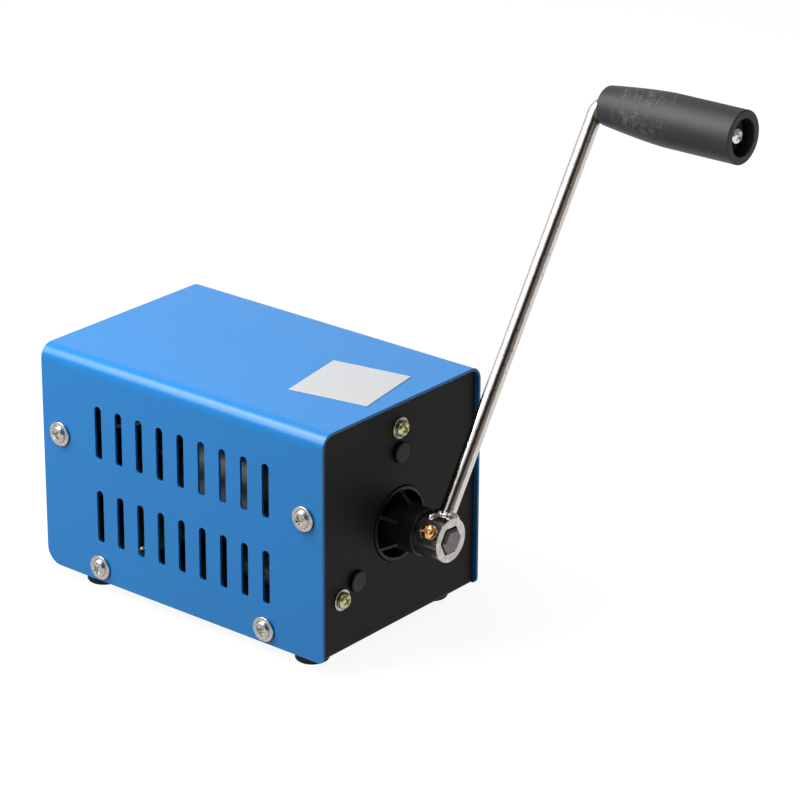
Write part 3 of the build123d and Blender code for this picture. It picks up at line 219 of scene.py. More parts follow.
class Network:
    """A node tree that is written one node at a time."""

    def __init__(self, tree):
        self.tree = tree

    def node(self, kind, settings=None, values=None):
        """Adds a node: first its settings, then the values or links of its sockets."""
        made = self.tree.nodes.new(kind)
        for name, setting in (settings or {}).items():
            setattr(made, name, setting)
        for key, value in (values or {}).items():
            if isinstance(value, Value):
                value = value.socket
            if isinstance(value, bpy.types.NodeSocket):
                self.tree.links.new(value, made.inputs[key])
            else:
                made.inputs[key].default_value = value
        return made

    def value(self, kind, settings=None, values=None, output=0):
        """The same, and returns one output for arithmetic."""
        return Value(self, self.node(kind, settings, values).outputs[output])

    def dot(self, first, second):
        """How far one direction goes along another."""
        values = {0: first, 1: second}
        return self.value("ShaderNodeVectorMath", {"operation": "DOT_PRODUCT"}, values, "Value")

    def mix(self, share, first, second):
        """A colour between two: each is three numbers or a link."""
        ends = [(*end, 1.0) if isinstance(end, tuple) else end for end in (first, second)]
        values = {0: share, 6: ends[0], 7: ends[1]}
        return self.node("ShaderNodeMix", {"data_type": "RGBA"}, values).outputs[2]


class Finish(Network):
    """A procedural material. Patterns are sized in millimetres on the object's coordinates."""

    def __init__(self, name, base, roughness, metallic=0.0, **others):
        self.material = bpy.data.materials.new(name)
        self.material.use_nodes = True
        super().__init__(self.material.node_tree)
        self.shader = self.tree.nodes["Principled BSDF"]
        self.shader.inputs["Base Color"].default_value = (*base, 1.0)
        self.shader.inputs["Roughness"].default_value = roughness
        self.shader.inputs["Metallic"].default_value = metallic
        for socket, value in others.items():
            self.shader.inputs[socket.replace("_", " ")].default_value = value
        self.place = self.node("ShaderNodeTexCoord").outputs["Object"]
        self.material.diffuse_color = (*base, 1.0)

    def at(self, size=1.0, stretch=(1, 1, 1), centre=(0, 0, 0), turn=(0, 0, 0)):
        """Coordinates about a centre, turned and in units of size millimetres."""
        scale = [size * MM * part for part in stretch]
        values = {"Vector": self.place, "Location": centre, "Rotation": turn, "Scale": scale}
        return self.node("ShaderNodeMapping", {"vector_type": "TEXTURE"}, values).outputs[0]

    def along(self, axis, centre=(0, 0, 0), turn=(0, 0, 0)):
        """One coordinate in millimetres, as a value."""
        place = self.at(centre=centre, turn=turn)
        return self.value("ShaderNodeSeparateXYZ", None, {0: place}, axis)

    def noise(self, size, detail=2.0, harsh=0.5, bend=0.0, **where):
        """Cloudy noise about 0.5, with features of size millimetres."""
        values = {
            "Vector": self.at(size, **where), "Scale": 1.0, "Detail": detail,
            "Roughness": harsh, "Distortion": bend,
        }
        return self.value("ShaderNodeTexNoise", None, values)

    def cells(self, size, **where):
        """Distances to scattered points about size millimetres apart."""
        values = {"Vector": self.at(size, **where), "Scale": 1.0}
        return self.value("ShaderNodeTexVoronoi", None, values)

    def rings(self, pitch, centre):
        """Turning marks round an axis along Y, as a wave from 0 to 1."""
        across = {0: self.at(centre=centre), 1: (1, 0, 1)}
        flat = self.value("ShaderNodeVectorMath", {"operation": "MULTIPLY"}, across)
        radius = self.value("ShaderNodeVectorMath", {"operation": "LENGTH"}, {0: flat}, "Value")
        return 0.5 + 0.5 * (radius * (2 * pi / pitch) + self.noise(0.7) * 5.0).sine()

    def feed(self, **sockets):
        """Links what varies to the shader's own sockets."""
        for name, source in sockets.items():
            source = source.socket if isinstance(source, Value) else source
            self.tree.links.new(source, self.shader.inputs[name.replace("_", " ")])
        return self

    def relief(self, height, depth):
        """Bump of so many millimetres, for a height between 0 and 1."""
        values = {"Height": height, "Distance": depth * MM, "Strength": 1.0}
        normal = self.shader.inputs["Normal"]
        if normal.is_linked:
            values["Normal"] = normal.links[0].from_socket
        self.tree.links.new(self.node("ShaderNodeBump", None, values).outputs[0], normal)
        return self


class Recipe(Network):
    """A Geometry Nodes tree with named inputs."""

    def __init__(self, name, **sockets):
        super().__init__(bpy.data.node_groups.new(name, "GeometryNodeTree"))
        self.keys = {}
        for way in ("INPUT", "OUTPUT"):
            self.tree.interface.new_socket(
                name="Geometry", in_out=way, socket_type="NodeSocketGeometry"
            )
        for socket, kind in {**sockets, "Material": "Material"}.items():
            made = self.tree.interface.new_socket(
                name=socket.replace("_", " "), in_out="INPUT", socket_type="NodeSocket" + kind
            )
            self.keys[socket] = made.identifier
        self.given = self.node("NodeGroupInput")

    def __getitem__(self, name):
        return Value(self, self.given.outputs[name])

    def attribute(self, name, kind):
        """What each point carries under a name."""
        return self.value("GeometryNodeInputNamedAttribute", {"data_type": kind}, {"Name": name})

    def circle(self, resolution, radius):
        """A round outline."""
        values = {"Resolution": resolution, "Radius": radius}
        return self.value("GeometryNodeCurvePrimitiveCircle", None, values)

    def rectangle(self, width, height):
        """A square-cornered outline."""
        values = {"Width": width, "Height": height}
        return self.value("GeometryNodeCurvePrimitiveQuadrilateral", None, values)

    def filleted(self, curve, radius):
        """An outline with its corners rounded."""
        values = {"Curve": curve, "Radius": radius}
        made = self.node("GeometryNodeFilletCurve", {"mode": "POLY"}, values)
        made.inputs["Count"].default_value = 8
        return Value(self, made.outputs[0])

    def on_points(self, points, shape, **more):
        """A shape on every point."""
        values = {"Points": points, "Instance": shape, **more}
        return self.value("GeometryNodeInstanceOnPoints", None, values)

    def real(self, instances):
        """Instances as geometry of their own."""
        return self.value("GeometryNodeRealizeInstances", None, {0: instances})

    def finish(self, geometry):
        """Realizes what was instanced, gives it its material and ends the tree."""
        values = {0: self.real(geometry), "Material": self["Material"]}
        self.node("NodeGroupOutput", None, {0: self.value("GeometryNodeSetMaterial", None, values)})

    def run(self, piece, **values):
        """Applies the tree to a piece and leaves it as a plain mesh."""
        modifier = piece.modifiers.new(self.tree.name, "NODES")
        modifier.node_group = self.tree
        for name, value in values.items():
            modifier[self.keys[name]] = value
        return settle_mesh(piece)


# ---------------------------------------------------------------------------------------------
# Meshes
# ---------------------------------------------------------------------------------------------


def new_piece(name, bm):
    """A piece at the origin, from a bmesh that is used up."""
    mesh = bpy.data.meshes.new(name)
    bm.to_mesh(mesh)
    bm.free()
    piece = bpy.data.objects.new(name, mesh)
    bpy.context.scene.collection.objects.link(piece)
    return piece


def settle_mesh(piece):
    """Turns a piece's modifiers into plain mesh."""
    bpy.context.view_layer.update()
    graph = bpy.context.evaluated_depsgraph_get()
    made = bpy.data.meshes.new_from_object(
        piece.evaluated_get(graph), preserve_all_data_layers=True, depsgraph=graph
    )
    piece.modifiers.clear()
    piece.data = made
    made.name = piece.name
    return piece


def soften(piece, edge, angle=35.0):
    """Rounds a piece's sharp edges by so many millimetres and shades its curves smooth."""
    for polygon in piece.data.polygons:
        polygon.use_smooth = True
    if edge:
        bevel = piece.modifiers.new("Edges", "BEVEL")
        bevel.width = edge * MM
        bevel.segments = 2
        bevel.limit_method = "ANGLE"
        bevel.angle_limit = radians(angle)
        bevel.miter_outer = "MITER_ARC"
    normals = piece.modifiers.new("Shading", "WEIGHTED_NORMAL")
    normals.keep_sharp = True
    normals.weight = 80
    return settle_mesh(piece)


def solid_copy(node):
    """A CAD node's mesh, merged and with its flat faces whole."""
    bm = bmesh.new()
    bm.from_mesh(frame["nodes"][node].data)
    bmesh.ops.remove_doubles(bm, verts=bm.verts, dist=CAD_MERGE)
    bmesh.ops.dissolve_limit(
        bm, angle_limit=FLAT, verts=bm.verts, edges=bm.edges, delimit={"NORMAL"}
    )
    return bm


def softened(node, name, edge, finish, slot, angle=35.0):
    """A piece that stands for a CAD node, with its edges rounded over."""
    piece = soften(new_piece(name, solid_copy(node)), edge, angle)
    return wear(piece, finish, slot, node)


def wear(piece, finish, slot, *nodes):
    """Gives a piece its finish and its body, and hides the CAD nodes that it stands for. The slot
    is not used.
    """
    piece.data.materials.clear()
    piece.data.materials.append(finish)
    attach(piece, frame["nodes"][nodes[0]]["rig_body"])
    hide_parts(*nodes)
    return piece


def dress(finish, *nodes):
    """Gives carried-over CAD nodes their finish."""
    for node in nodes:
        mesh = frame["nodes"][node].data
        mesh.materials.clear()
        mesh.materials.append(finish)


def islands(node):
    """The lowest and highest corners of each separate solid in a CAD node."""
    bm = bmesh.new()
    bm.from_mesh(frame["nodes"][node].data)
    bmesh.ops.remove_doubles(bm, verts=bm.verts, dist=CAD_MERGE)
    left, boxes = set(bm.verts), []
    while left:
        queue, places = [left.pop()], []
        while queue:
            vert = queue.pop()
            places.append(vert.co.copy())
            for edge in vert.link_edges:
                other = edge.other_vert(vert)
                if other in left:
                    left.discard(other)
                    queue.append(other)
        boxes.append([Vector(pick(p[i] for p in places) for i in range(3)) for pick in (min, max)])
    bm.free()
    return sorted(boxes, key=lambda box: tuple(round(c, 5) for c in box[0]))


def rounded(corners, steps=6):
    """Points along a line of (x, y, radius) corners, with each corner rounded."""
    points = []
    for i, (x, y, radius) in enumerate(corners):
        here = Vector((x, y))
        if not radius or i in (0, len(corners) - 1):
            points.append(here)
            continue
        back = (Vector(corners[i - 1][:2]) - here).normalized()
        ahead = (Vector(corners[i + 1][:2]) - here).normalized()
        half = acos(max(-1.0, min(1.0, back.dot(ahead)))) / 2
        centre = here + (back + ahead).normalized() * (radius / sin(half))
        first = here + back * (radius / tan(half)) - centre
        last = here + ahead * (radius / tan(half)) - centre
        for step in range(steps + 1):
            points.append(centre + first.lerp(last, step / steps).normalized() * radius)
    return points


def turned(profile, steps=64):
    """A closed solid of revolution round Z.

    The profile, of (radius, height), runs from axis to axis or ends where it starts.
    """
    bm = bmesh.new()
    rings = []
    for radius, height in profile:
        count = steps if radius > MERGE else 1
        angles = [2 * pi * i / steps for i in range(count)]
        rings.append([bm.verts.new((radius * cos(a), radius * sin(a), height)) for a in angles])
    for lower, upper in zip(rings, rings[1:]):
        for i in range(steps):
            j = i + 1
            around = [
                lower[i % len(lower)], lower[j % len(lower)],
                upper[j % len(upper)], upper[i % len(upper)],
            ]
            bm.faces.new(list(dict.fromkeys(around)))
    bmesh.ops.remove_doubles(bm, verts=bm.verts, dist=MERGE)
    bmesh.ops.recalc_face_normals(bm, faces=bm.faces)
    return bm


def standing(direction, place):
    """The transform that stands local Z along a direction at a place."""
    tilt = Vector(direction).to_track_quat("Z", "Y").to_matrix().to_4x4()
    return Matrix.Translation(place) @ tilt


def cut(piece, cutter):
    """Cuts a piece by another, which is used up."""
    boolean = piece.modifiers.new("Cut", "BOOLEAN")
    boolean.operation = "DIFFERENCE"
    boolean.solver = "EXACT"
    boolean.object = cutter
    settle_mesh(piece)
    bpy.data.objects.remove(cutter)
    return piece


# A screw's head. The recess has its reach and its arms' half width as shares of the head's
# radius, and its level as a share of the head's height, at its floor and above the head.
RECESS = ((0.34, 0.10, 0.30), (0.70, 0.17, 1.25))
DOME_STEPS = 12
DOME_FULLNESS = 0.8             # 1 would be an elliptic dome, and less is fuller


def cross_screw(name, head, height, shank, reach, flange=0.0, flange_height=0.0):
    """A cross-recess screw, its seat on the local XY plane and its head up, perhaps flanged."""
    tip = 0.35 * shank
    corners = [(0, -reach, 0), (shank - tip, -reach, 0), (shank, tip - reach, 0), (shank, 0, 0)]
    if flange:
        corners += [(flange, 0, 0.2 * MM), (flange, flange_height, 0.3 * MM)]
        corners += [(head + 0.12 * MM, flange_height, 0.1 * MM)]
    else:
        corners += [(head, 0, 0.15 * MM)]
    shoulder = max(flange_height, 0.12 * height) + 0.15 * height
    profile = rounded([*corners, (head, shoulder, 0)], 4)
    for step in range(1, DOME_STEPS + 1):
        angle = pi / 2 * step / DOME_STEPS
        rise = (height - shoulder) * sin(angle)
        profile.append(Vector((head * cos(angle) ** DOME_FULLNESS, shoulder + rise)))
    profile[-1].x = 0.0
    screw = new_piece(name, turned(profile, 48))
    cut(screw, new_piece(name + "_recess", recess(head, height)))
    return soften(screw, 0.0)


def recess(head, height):
    """The tapered cross that is cut into a screw's head."""
    bm = bmesh.new()
    levels = []
    for reach, arm, level in RECESS:
        a, b = reach * head, arm * head
        outline = []
        for quarter in range(4):
            turn = Matrix.Rotation(quarter * pi / 2, 2)
            outline += [turn @ Vector(p) for p in ((a, -b), (a, b), (b, b))]
        levels.append([bm.verts.new((p.x, p.y, level * height)) for p in outline])
    low, high = levels
    for i in range(len(low)):
        j = (i + 1) % len(low)
        bm.faces.new([low[i], low[j], high[j], high[i]])
    bm.faces.new(low)
    bm.faces.new(high)
    bmesh.ops.recalc_face_normals(bm, faces=bm.faces)
    return bm


def fastener_pattern():
    """Stands one piece on every point, along the point's own direction."""
    recipe = Recipe("fastener pattern", Piece="Object")
    facing = recipe.attribute("facing", "FLOAT_VECTOR")
    turn = recipe.attribute("turn", "FLOAT")
    stood = recipe.value("FunctionNodeAlignRotationToVector", {"axis": "Z"}, {"Vector": facing})
    spun = recipe.value("FunctionNodeAxisAngleToRotation", None, {"Angle": turn})
    both = recipe.value(
        "FunctionNodeRotateRotation", {"rotation_space": "LOCAL"},
        {"Rotation": stood, "Rotate By": spun},
    )
    shape = recipe.value(
        "GeometryNodeObjectInfo", None, {"Object": recipe["Piece"]}, "Geometry"
    )
    recipe.finish(recipe.on_points(recipe["Geometry"], shape, Rotation=both))
    return recipe


def repeat(name, shape, places, finish):
    """Copies of a shape on (place, direction, turn) as one plain mesh. The shape is used up."""
    bm = bmesh.new()
    for place, direction, turn in places:
        bm.verts.new(place)
    piece = new_piece(name, bm)
    for attribute, kind in (("facing", "FLOAT_VECTOR"), ("turn", "FLOAT")):
        piece.data.attributes.new(attribute, kind, "POINT")
    for i, (place, direction, turn) in enumerate(places):
        piece.data.attributes["facing"].data[i].vector = direction
        piece.data.attributes["turn"].data[i].value = turn
    fastener_pattern().run(piece, Piece=shape, Material=finish)
    bpy.data.objects.remove(shape)
    return piece


# ---------------------------------------------------------------------------------------------
# Finishes
# ---------------------------------------------------------------------------------------------


def scaled(tint, share):
    """A colour, lighter or darker."""
    return tuple(min(1.0, part * share) for part in tint)


def sheet_paint(name, tint, roughness, gloss, drift, peel):
    """Baked paint on sheet metal: slow drift of tone, fine orange peel, a few dust nibs."""
    paint = Finish(name, tint, roughness, Specular_IOR_Level=gloss)
    slow = paint.noise(48, detail=1.5)
    grain = paint.noise(0.35, detail=2.5)
    nibs = paint.cells(7.0)
    tone = paint.mix(slow, scaled(tint, 1 - drift), scaled(tint, 1 + drift))
    paint.feed(Base_Color=paint.mix(grain.between(0.55, 0.9) * 0.12, tone, scaled(tint, 1.35)))
    paint.feed(Roughness=roughness - 0.05 + 0.10 * paint.noise(6.0, detail=3))
    paint.relief(paint.noise(1.1, detail=1), peel)
    paint.relief(grain, 0.35 * peel)
    paint.relief(nibs.between(0.05, 0.0), 0.012)
    return paint.material


def moulded(name, tint, roughness, gloss=0.4):
    """Moulded plastic with a fine spark-eroded grain."""
    plastic = Finish(name, tint, roughness, Specular_IOR_Level=gloss)
    grain = plastic.noise(0.12, detail=3)
    slow = plastic.noise(9.0)
    plastic.feed(Base_Color=plastic.mix(slow, scaled(tint, 0.82), scaled(tint, 1.22)))
    plastic.feed(Roughness=roughness - 0.06 + 0.14 * plastic.noise(1.6, detail=3))
    plastic.relief(grain, 0.006)
    return plastic.material


def metal(name, tint, roughness, second, patch=1.2, stretch=(1, 1, 1), depth=0.003):
    """Bare or plated metal: patches of a second tint, drawn marks and a wavy surface."""
    plated = Finish(name, tint, roughness, 1.0)
    marks = plated.noise(0.16, detail=4, stretch=stretch)
    cloud = plated.noise(patch, detail=3)
    tone = plated.mix(cloud.between(0.42, 0.66) * 0.7, tint, second)
    plated.feed(Base_Color=plated.mix(marks.between(0.55, 0.8) * 0.35, tone, scaled(tint, 0.55)))
    plated.feed(Roughness=roughness * (0.72 + 0.6 * marks))
    plated.relief(marks, depth)
    plated.relief(cloud, 2.2 * depth)
    return plated.material


def rubber(tint):
    """Rubber with mould bloom and dust in its grain."""
    soft = Finish("foot rubber", tint, 0.78, Specular_IOR_Level=0.3)
    dust = soft.noise(0.5, detail=4)
    soft.feed(Base_Color=soft.mix(dust.between(0.5, 0.85), tint, scaled(tint, 2.2)))
    soft.feed(Roughness=0.70 + 0.2 * dust)
    soft.relief(dust, 0.03)
    return soft.material


def grip_finish(tint):
    """Matte moulded grip, scuffed chalky over the part nearest the rod. The pale scuffs and specks
    cover only the side turned towards the highlight, so they are part wear and part painted
    highlight.
    """
    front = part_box("grip")[0].y
    grip = Finish("scuffed grip", tint, 0.50, Specular_IOR_Level=0.42)
    reach = grip.along("Y", (0, front, 0))
    zone = reach.between(48.5, 45.0) * reach.between(19.0, 33.0)
    facing = grip.node("ShaderNodeTexCoord").outputs["Normal"]
    # Faces turned towards where the top lamp's highlight shows. The pale scuffs and specks are kept
    # to them: a painted highlight laid over real wear.
    toward_highlight = grip.dot(facing, (-0.62, -0.25, 0.74))
    stroke = grip.noise(2.6, detail=6, harsh=0.74, bend=1.2, stretch=(1, 0.6, 1))
    fine = grip.noise(0.5, detail=3, harsh=0.7)
    worn_and_highlit = zone * toward_highlight.between(0.0, 0.55)
    scuff_and_highlight = stroke.between(0.50, 0.60) * (0.35 + 0.65 * fine.between(0.38, 0.58)) * worn_and_highlit
    # Pale specks, on the highlight side only: part dust, part painted glints.
    speck = grip.cells(1.5).between(0.10, 0.03) * toward_highlight.between(0.2, 0.6)
    cloud = grip.noise(14, detail=2)
    tone = grip.mix(cloud, scaled(tint, 0.85), scaled(tint, 1.15))
    # The scuffs' pale colour, which also paints the highlight on that side.
    tone = grip.mix(scuff_and_highlight * 0.8, tone, (0.15, 0.142, 0.132))
    grip.feed(Base_Color=grip.mix(speck * 0.3, tone, (0.08, 0.076, 0.072)))
    grip.feed(Roughness=0.43 + 0.14 * grip.noise(0.9, detail=3) + 0.2 * scuff_and_highlight)
    grip.relief(grip.noise(0.18, detail=2), 0.012)
    grip.relief(scuff_and_highlight, 0.03)
    return grip.material


def chrome():
    """Bright plating over a drawn rod: the draw marks still show through it."""
    tilt = (0.0, -ARM.angle(Vector((1, 0, 0))), 0.0)
    bright = (0.62, 0.59, 0.56)
    plate = Finish("chromed rod", bright, 0.09, 1.0)
    drawn = plate.noise(0.22, detail=4, harsh=0.62, stretch=(26, 1, 1), turn=tilt)
    dents = plate.noise(1.0, detail=2, stretch=(2.6, 1, 1), turn=tilt)
    pits = plate.cells(1.3, stretch=(3.0, 1, 1), turn=tilt).between(0.20, 0.05)
    tone = plate.mix(drawn.between(0.5, 0.72) * 0.6, bright, (0.26, 0.235, 0.215))
    plate.feed(Base_Color=plate.mix(pits * 0.8, tone, (0.07, 0.045, 0.035)))
    plate.feed(Roughness=0.05 + 0.16 * drawn)
    plate.relief(drawn, 0.010)
    plate.relief(dents, 0.035)
    plate.relief(pits, 0.02)
    return plate.material


def turned_steel(name, tint, roughness, pitch):
    """A piece turned round the shaft's axis, with its turning marks."""
    steel = Finish(name, tint, roughness, 1.0)
    marks = steel.rings(pitch, SHAFT)
    cloud = steel.noise(2.4, detail=3)
    tone = steel.mix(cloud.between(0.35, 0.7), scaled(tint, 0.82), scaled(tint, 1.12))
    steel.feed(Base_Color=steel.mix(marks * 0.25, tone, scaled(tint, 0.6)))
    steel.feed(Roughness=roughness - 0.05 + 0.10 * cloud)
    steel.relief(marks, 0.002)
    steel.relief(steel.noise(0.5, detail=2), 0.004)
    return steel.material


def foil(tint):
    """Bare silver foil with a faint brushed grain and soft ripples."""
    film = Finish("label foil", tint, 0.42, 0.25)
    brushed = film.noise(0.12, detail=3, stretch=(40, 1, 1), turn=(0, 0, LABEL_TURN))
    film.feed(Base_Color=film.mix(brushed, scaled(tint, 0.90), scaled(tint, 1.08)))
    film.feed(Roughness=0.36 + 0.14 * film.noise(3.0))
    film.relief(brushed, 0.002)
    film.relief(film.noise(9.0, detail=1), 0.03)
    return film.material


def windings():
    """Lacquered copper wire, side by side, with painted shade darkening the grooves between turns.
    """
    wire = Finish("copper windings", (0.55, 0.20, 0.07), 0.28, 0.85, Coat_Weight=0.6)
    # Each turn runs from a dark groove to a bright crest: the dark is painted shade between the
    # wires, next to the bump.
    lay_and_groove_shade = (wire.along("Y") * (2 * pi / 0.42) + wire.noise(1.4) * 6.0).sine() * 0.5 + 0.5
    wire.feed(Base_Color=wire.mix(lay_and_groove_shade, (0.16, 0.045, 0.015), (0.66, 0.26, 0.09)))
    wire.relief(lay_and_groove_shade, 0.12)
    return wire.material


def laminations():
    """Stacked iron sheets, seen on edge."""
    stack = Finish("laminations", (0.16, 0.155, 0.15), 0.45, 0.9)
    sheets = (stack.along("Y") * (2 * pi / 0.5)).sine() * 0.5 + 0.5
    rust = stack.noise(1.8, detail=4)
    tone = stack.mix(sheets, (0.05, 0.05, 0.05), (0.30, 0.29, 0.28))
    stack.feed(Base_Color=stack.mix(rust.between(0.6, 0.85) * 0.5, tone, (0.16, 0.07, 0.03)))
    stack.relief(sheets, 0.06)
    return stack.material


def circuit():
    """Green solder mask over copper traces, with a fibre weave in it."""
    board = Finish("circuit board", (0.015, 0.12, 0.035), 0.32, Coat_Weight=0.3)
    trace = board.value(
        "ShaderNodeTexBrick", {"offset": 0.37, "squash": 1.0},
        {"Vector": board.at(6.0), "Scale": 1.0, "Mortar Size": 0.06, "Mortar Smooth": 0.1}, 1,
    )
    warp, weft = [(board.along(axis) * 9.0).sine() for axis in ("X", "Y")]
    cloth = warp * weft * 0.5 + 0.5
    tone = board.mix(cloth * 0.25, (0.012, 0.10, 0.03), (0.02, 0.16, 0.05))
    board.feed(Base_Color=board.mix(trace, tone, (0.035, 0.26, 0.07)))
    board.relief(trace, 0.03)
    board.relief(cloth, 0.004)
    return board.material


def ceramic(name, tint, roughness, speck, metallic=0.0):
    """A pressed or fired piece: magnet, ferrite or carbon, with a grain of specks."""
    body = Finish(name, tint, roughness, metallic)
    grain = body.cells(0.35)
    body.feed(Base_Color=body.mix(grain.between(0.1, 0.5), speck, tint))
    body.feed(Roughness=roughness - 0.08 + 0.16 * body.noise(0.9, detail=3))
    body.relief(grain, 0.02)
    return body.material


def insulation(name, tint):
    """Glossy wire insulation with light handling marks."""
    sleeve = Finish(name, tint, 0.35, Coat_Weight=0.2)
    rub = sleeve.noise(1.2, detail=4)
    sleeve.feed(Base_Color=sleeve.mix(rub.between(0.45, 0.8), tint, scaled(tint, 1.5)))
    sleeve.feed(Roughness=0.28 + 0.2 * rub)
    sleeve.relief(sleeve.noise(0.4), 0.008)
    return sleeve.material


def lens(tint):
    """The power light's tinted dome."""
    glow = Finish("green lamp", tint, 0.18, Coat_Weight=0.8)
    depth = glow.noise(0.8, detail=2)
    glow.feed(Base_Color=glow.mix(depth, scaled(tint, 0.6), scaled(tint, 1.3)))
    glow.relief(depth, 0.01)
    return glow.material


def nylon():
    """Milky nylon gears with grease in places."""
    gear = Finish("white nylon", (0.72, 0.70, 0.64), 0.42, Specular_IOR_Level=0.45)
    grease = gear.noise(2.6, detail=4)
    tone = gear.mix(grease.between(0.55, 0.8), (0.74, 0.72, 0.66), (0.50, 0.45, 0.34))
    gear.feed(Base_Color=tone, Roughness=0.48 - 0.25 * grease.between(0.5, 0.8))
    gear.relief(gear.noise(0.3, detail=3), 0.01)
    return gear.material


# ---------------------------------------------------------------------------------------------
# Pieces
# ---------------------------------------------------------------------------------------------


def vented_blank():
    """The cover's flat blank: a rounded outline with rows of slots and holes for screws.

    Each point of the geometry given is the middle of a row of slots or, where its attribute hole
    is set, the middle of a screw hole.
    """
    recipe = Recipe(
        "vented blank", Length="Float", Width="Float", Front_corner="Float", Rear_corner="Float",
        Slot_width="Float", Slot_length="Float", Slot_pitch="Float", Slots="Int",
        Hole_radius="Float",
    )
    place = recipe.node("GeometryNodeInputPosition").outputs[0]
    along = recipe.value("ShaderNodeSeparateXYZ", None, {0: place}, "Y")
    rear = recipe.value(
        "FunctionNodeCompare", {"data_type": "FLOAT", "operation": "GREATER_THAN"},
        {0: along, 1: 0.0},
    )
    radius = recipe.value(
        "GeometryNodeSwitch", {"input_type": "FLOAT"},
        {"Switch": rear, "False": recipe["Front corner"], "True": recipe["Rear corner"]},
    )
    outline = recipe.filleted(recipe.rectangle(recipe["Width"], recipe["Length"]), radius)
    split = recipe.node(
        "GeometryNodeSeparateGeometry", {"domain": "POINT"},
        {0: recipe["Geometry"], "Selection": recipe.attribute("hole", "BOOLEAN")},
    )
    pitch = recipe["Slot pitch"]
    step = recipe.value("ShaderNodeCombineXYZ", None, {"Y": pitch})
    first = recipe.value(
        "ShaderNodeCombineXYZ", None, {"Y": (recipe["Slots"] - 1) * pitch * -0.5}
    )
    row = recipe.value(
        "GeometryNodeMeshLine", {"mode": "OFFSET"},
        {"Count": recipe["Slots"], "Start Location": first, "Offset": step},
    )
    middles = recipe.real(recipe.on_points(split.outputs[1], row))
    bar = recipe.rectangle(recipe["Slot length"], recipe["Slot width"])
    slots = recipe.on_points(middles, recipe.filleted(bar, recipe["Slot width"] * 0.499))
    holes = recipe.on_points(split.outputs[0], recipe.circle(24, recipe["Hole radius"]))
    joined = recipe.node("GeometryNodeJoinGeometry")
    for part in (outline, slots, holes):
        recipe.tree.links.new(part.socket, joined.inputs[0])
    curves = recipe.real(joined.outputs[0])
    recipe.finish(recipe.value("GeometryNodeFillCurve", {"mode": "TRIANGLES"}, {0: curves}))
    return recipe


class GENERATOR_OT_cover(Operator):
    """Cut the cover's flat blank with its slots, give it its thickness and fold it"""

    bl_idname = "generator.cover"
    bl_label = "Cover"
    folds = 16                  # facets across each bend
    near = 1e-6                 # two places in the blank that are one

    def execute(self, context):
        case = context.scene.generator_case
        size = CASE_HIGH - CASE_LOW
        side, top = size.z - case.bend, size.x - 2 * case.bend
        arc = case.bend * pi / 2
        span = 2 * (side + arc) + top
        paint = sheet_paint("blue paint", tuple(case.paint), 0.25, 0.34, 0.05, 0.006)

        bm = bmesh.new()
        hole = bm.verts.layers.int.new("hole")
        for way in (-1, 1):
            for height in (case.lower_row, case.upper_row):
                bm.verts.new((way * (span / 2 - height), case.slot_shift, 0.0))
            for low, high in islands("cover_screws"):
                middle = (low + high) / 2
                if middle.x * way > 0:
                    height = middle.z - CASE_LOW.z
                    bm.verts.new((way * (span / 2 - height), middle.y, 0.0))[hole] = 1
        cover = new_piece("folded_cover", bm)
        vented_blank().run(
            cover, Length=size.y, Width=span, Front_corner=case.front_corner,
            Rear_corner=case.rear_corner, Slot_width=case.slot_width,
            Slot_length=case.slot_length, Slot_pitch=case.slot_pitch, Slots=case.slots,
            Hole_radius=case.screw_hole, Material=paint,
        )

        bm = bmesh.new()
        bm.from_mesh(cover.data)
        bmesh.ops.remove_doubles(bm, verts=bm.verts, dist=self.near)
        for way in (-1, 1):
            for step in range(self.folds + 1):
                line = way * (top / 2 + arc * step / self.folds)
                bmesh.ops.bisect_plane(
                    bm, geom=[*bm.verts, *bm.edges, *bm.faces], dist=MERGE,
                    plane_co=(line, 0, 0), plane_no=(1, 0, 0),
                )
        bmesh.ops.dissolve_limit(
            bm, angle_limit=FLAT, verts=bm.verts,
            edges=[e for e in bm.edges if not self.is_fold(e, top, arc)],
        )
        inner = bmesh.ops.extrude_face_region(bm, geom=bm.faces[:], use_keep_orig=True)
        for vert in inner["geom"]:
            if isinstance(vert, bmesh.types.BMVert):
                vert.co.z = -case.sheet
        for vert in bm.verts:
            vert.co = self.folded(vert.co, case.bend, side, top, arc)
        bmesh.ops.recalc_face_normals(bm, faces=bm.faces)
        bm.to_mesh(cover.data)
        bm.free()
        wear(soften(cover, 0.16, 40.0), paint, "blue_paint", "cover")
        return {"FINISHED"}

    def is_fold(self, edge, top, arc):
        """Whether an edge lies across the sheet, on a fold line."""
        first, last = (vert.co for vert in edge.verts)
        reach = abs(first.x)
        start, end = top / 2 - self.near, top / 2 + arc + self.near
        return abs(first.x - last.x) < self.near and start < reach < end

    def folded(self, place, bend, side, top, arc):
        """Where a point of the flat blank lies after folding. Its depth is below the outside."""
        way = -1 if place.x < 0 else 1
        reach, depth = abs(place.x), -place.z
        middle = (CASE_LOW.x + CASE_HIGH.x) / 2
        if reach <= top / 2:
            across, height = reach, CASE_HIGH.z - depth
        elif reach < top / 2 + arc:
            angle = (reach - top / 2) / bend
            across = top / 2 + (bend - depth) * sin(angle)
            height = CASE_HIGH.z - bend + (bend - depth) * cos(angle)
        else:
            across = CASE_HIGH.x - middle - depth
            height = CASE_HIGH.z - bend - (reach - top / 2 - arc)
        return Vector((middle + way * across, place.y, height))


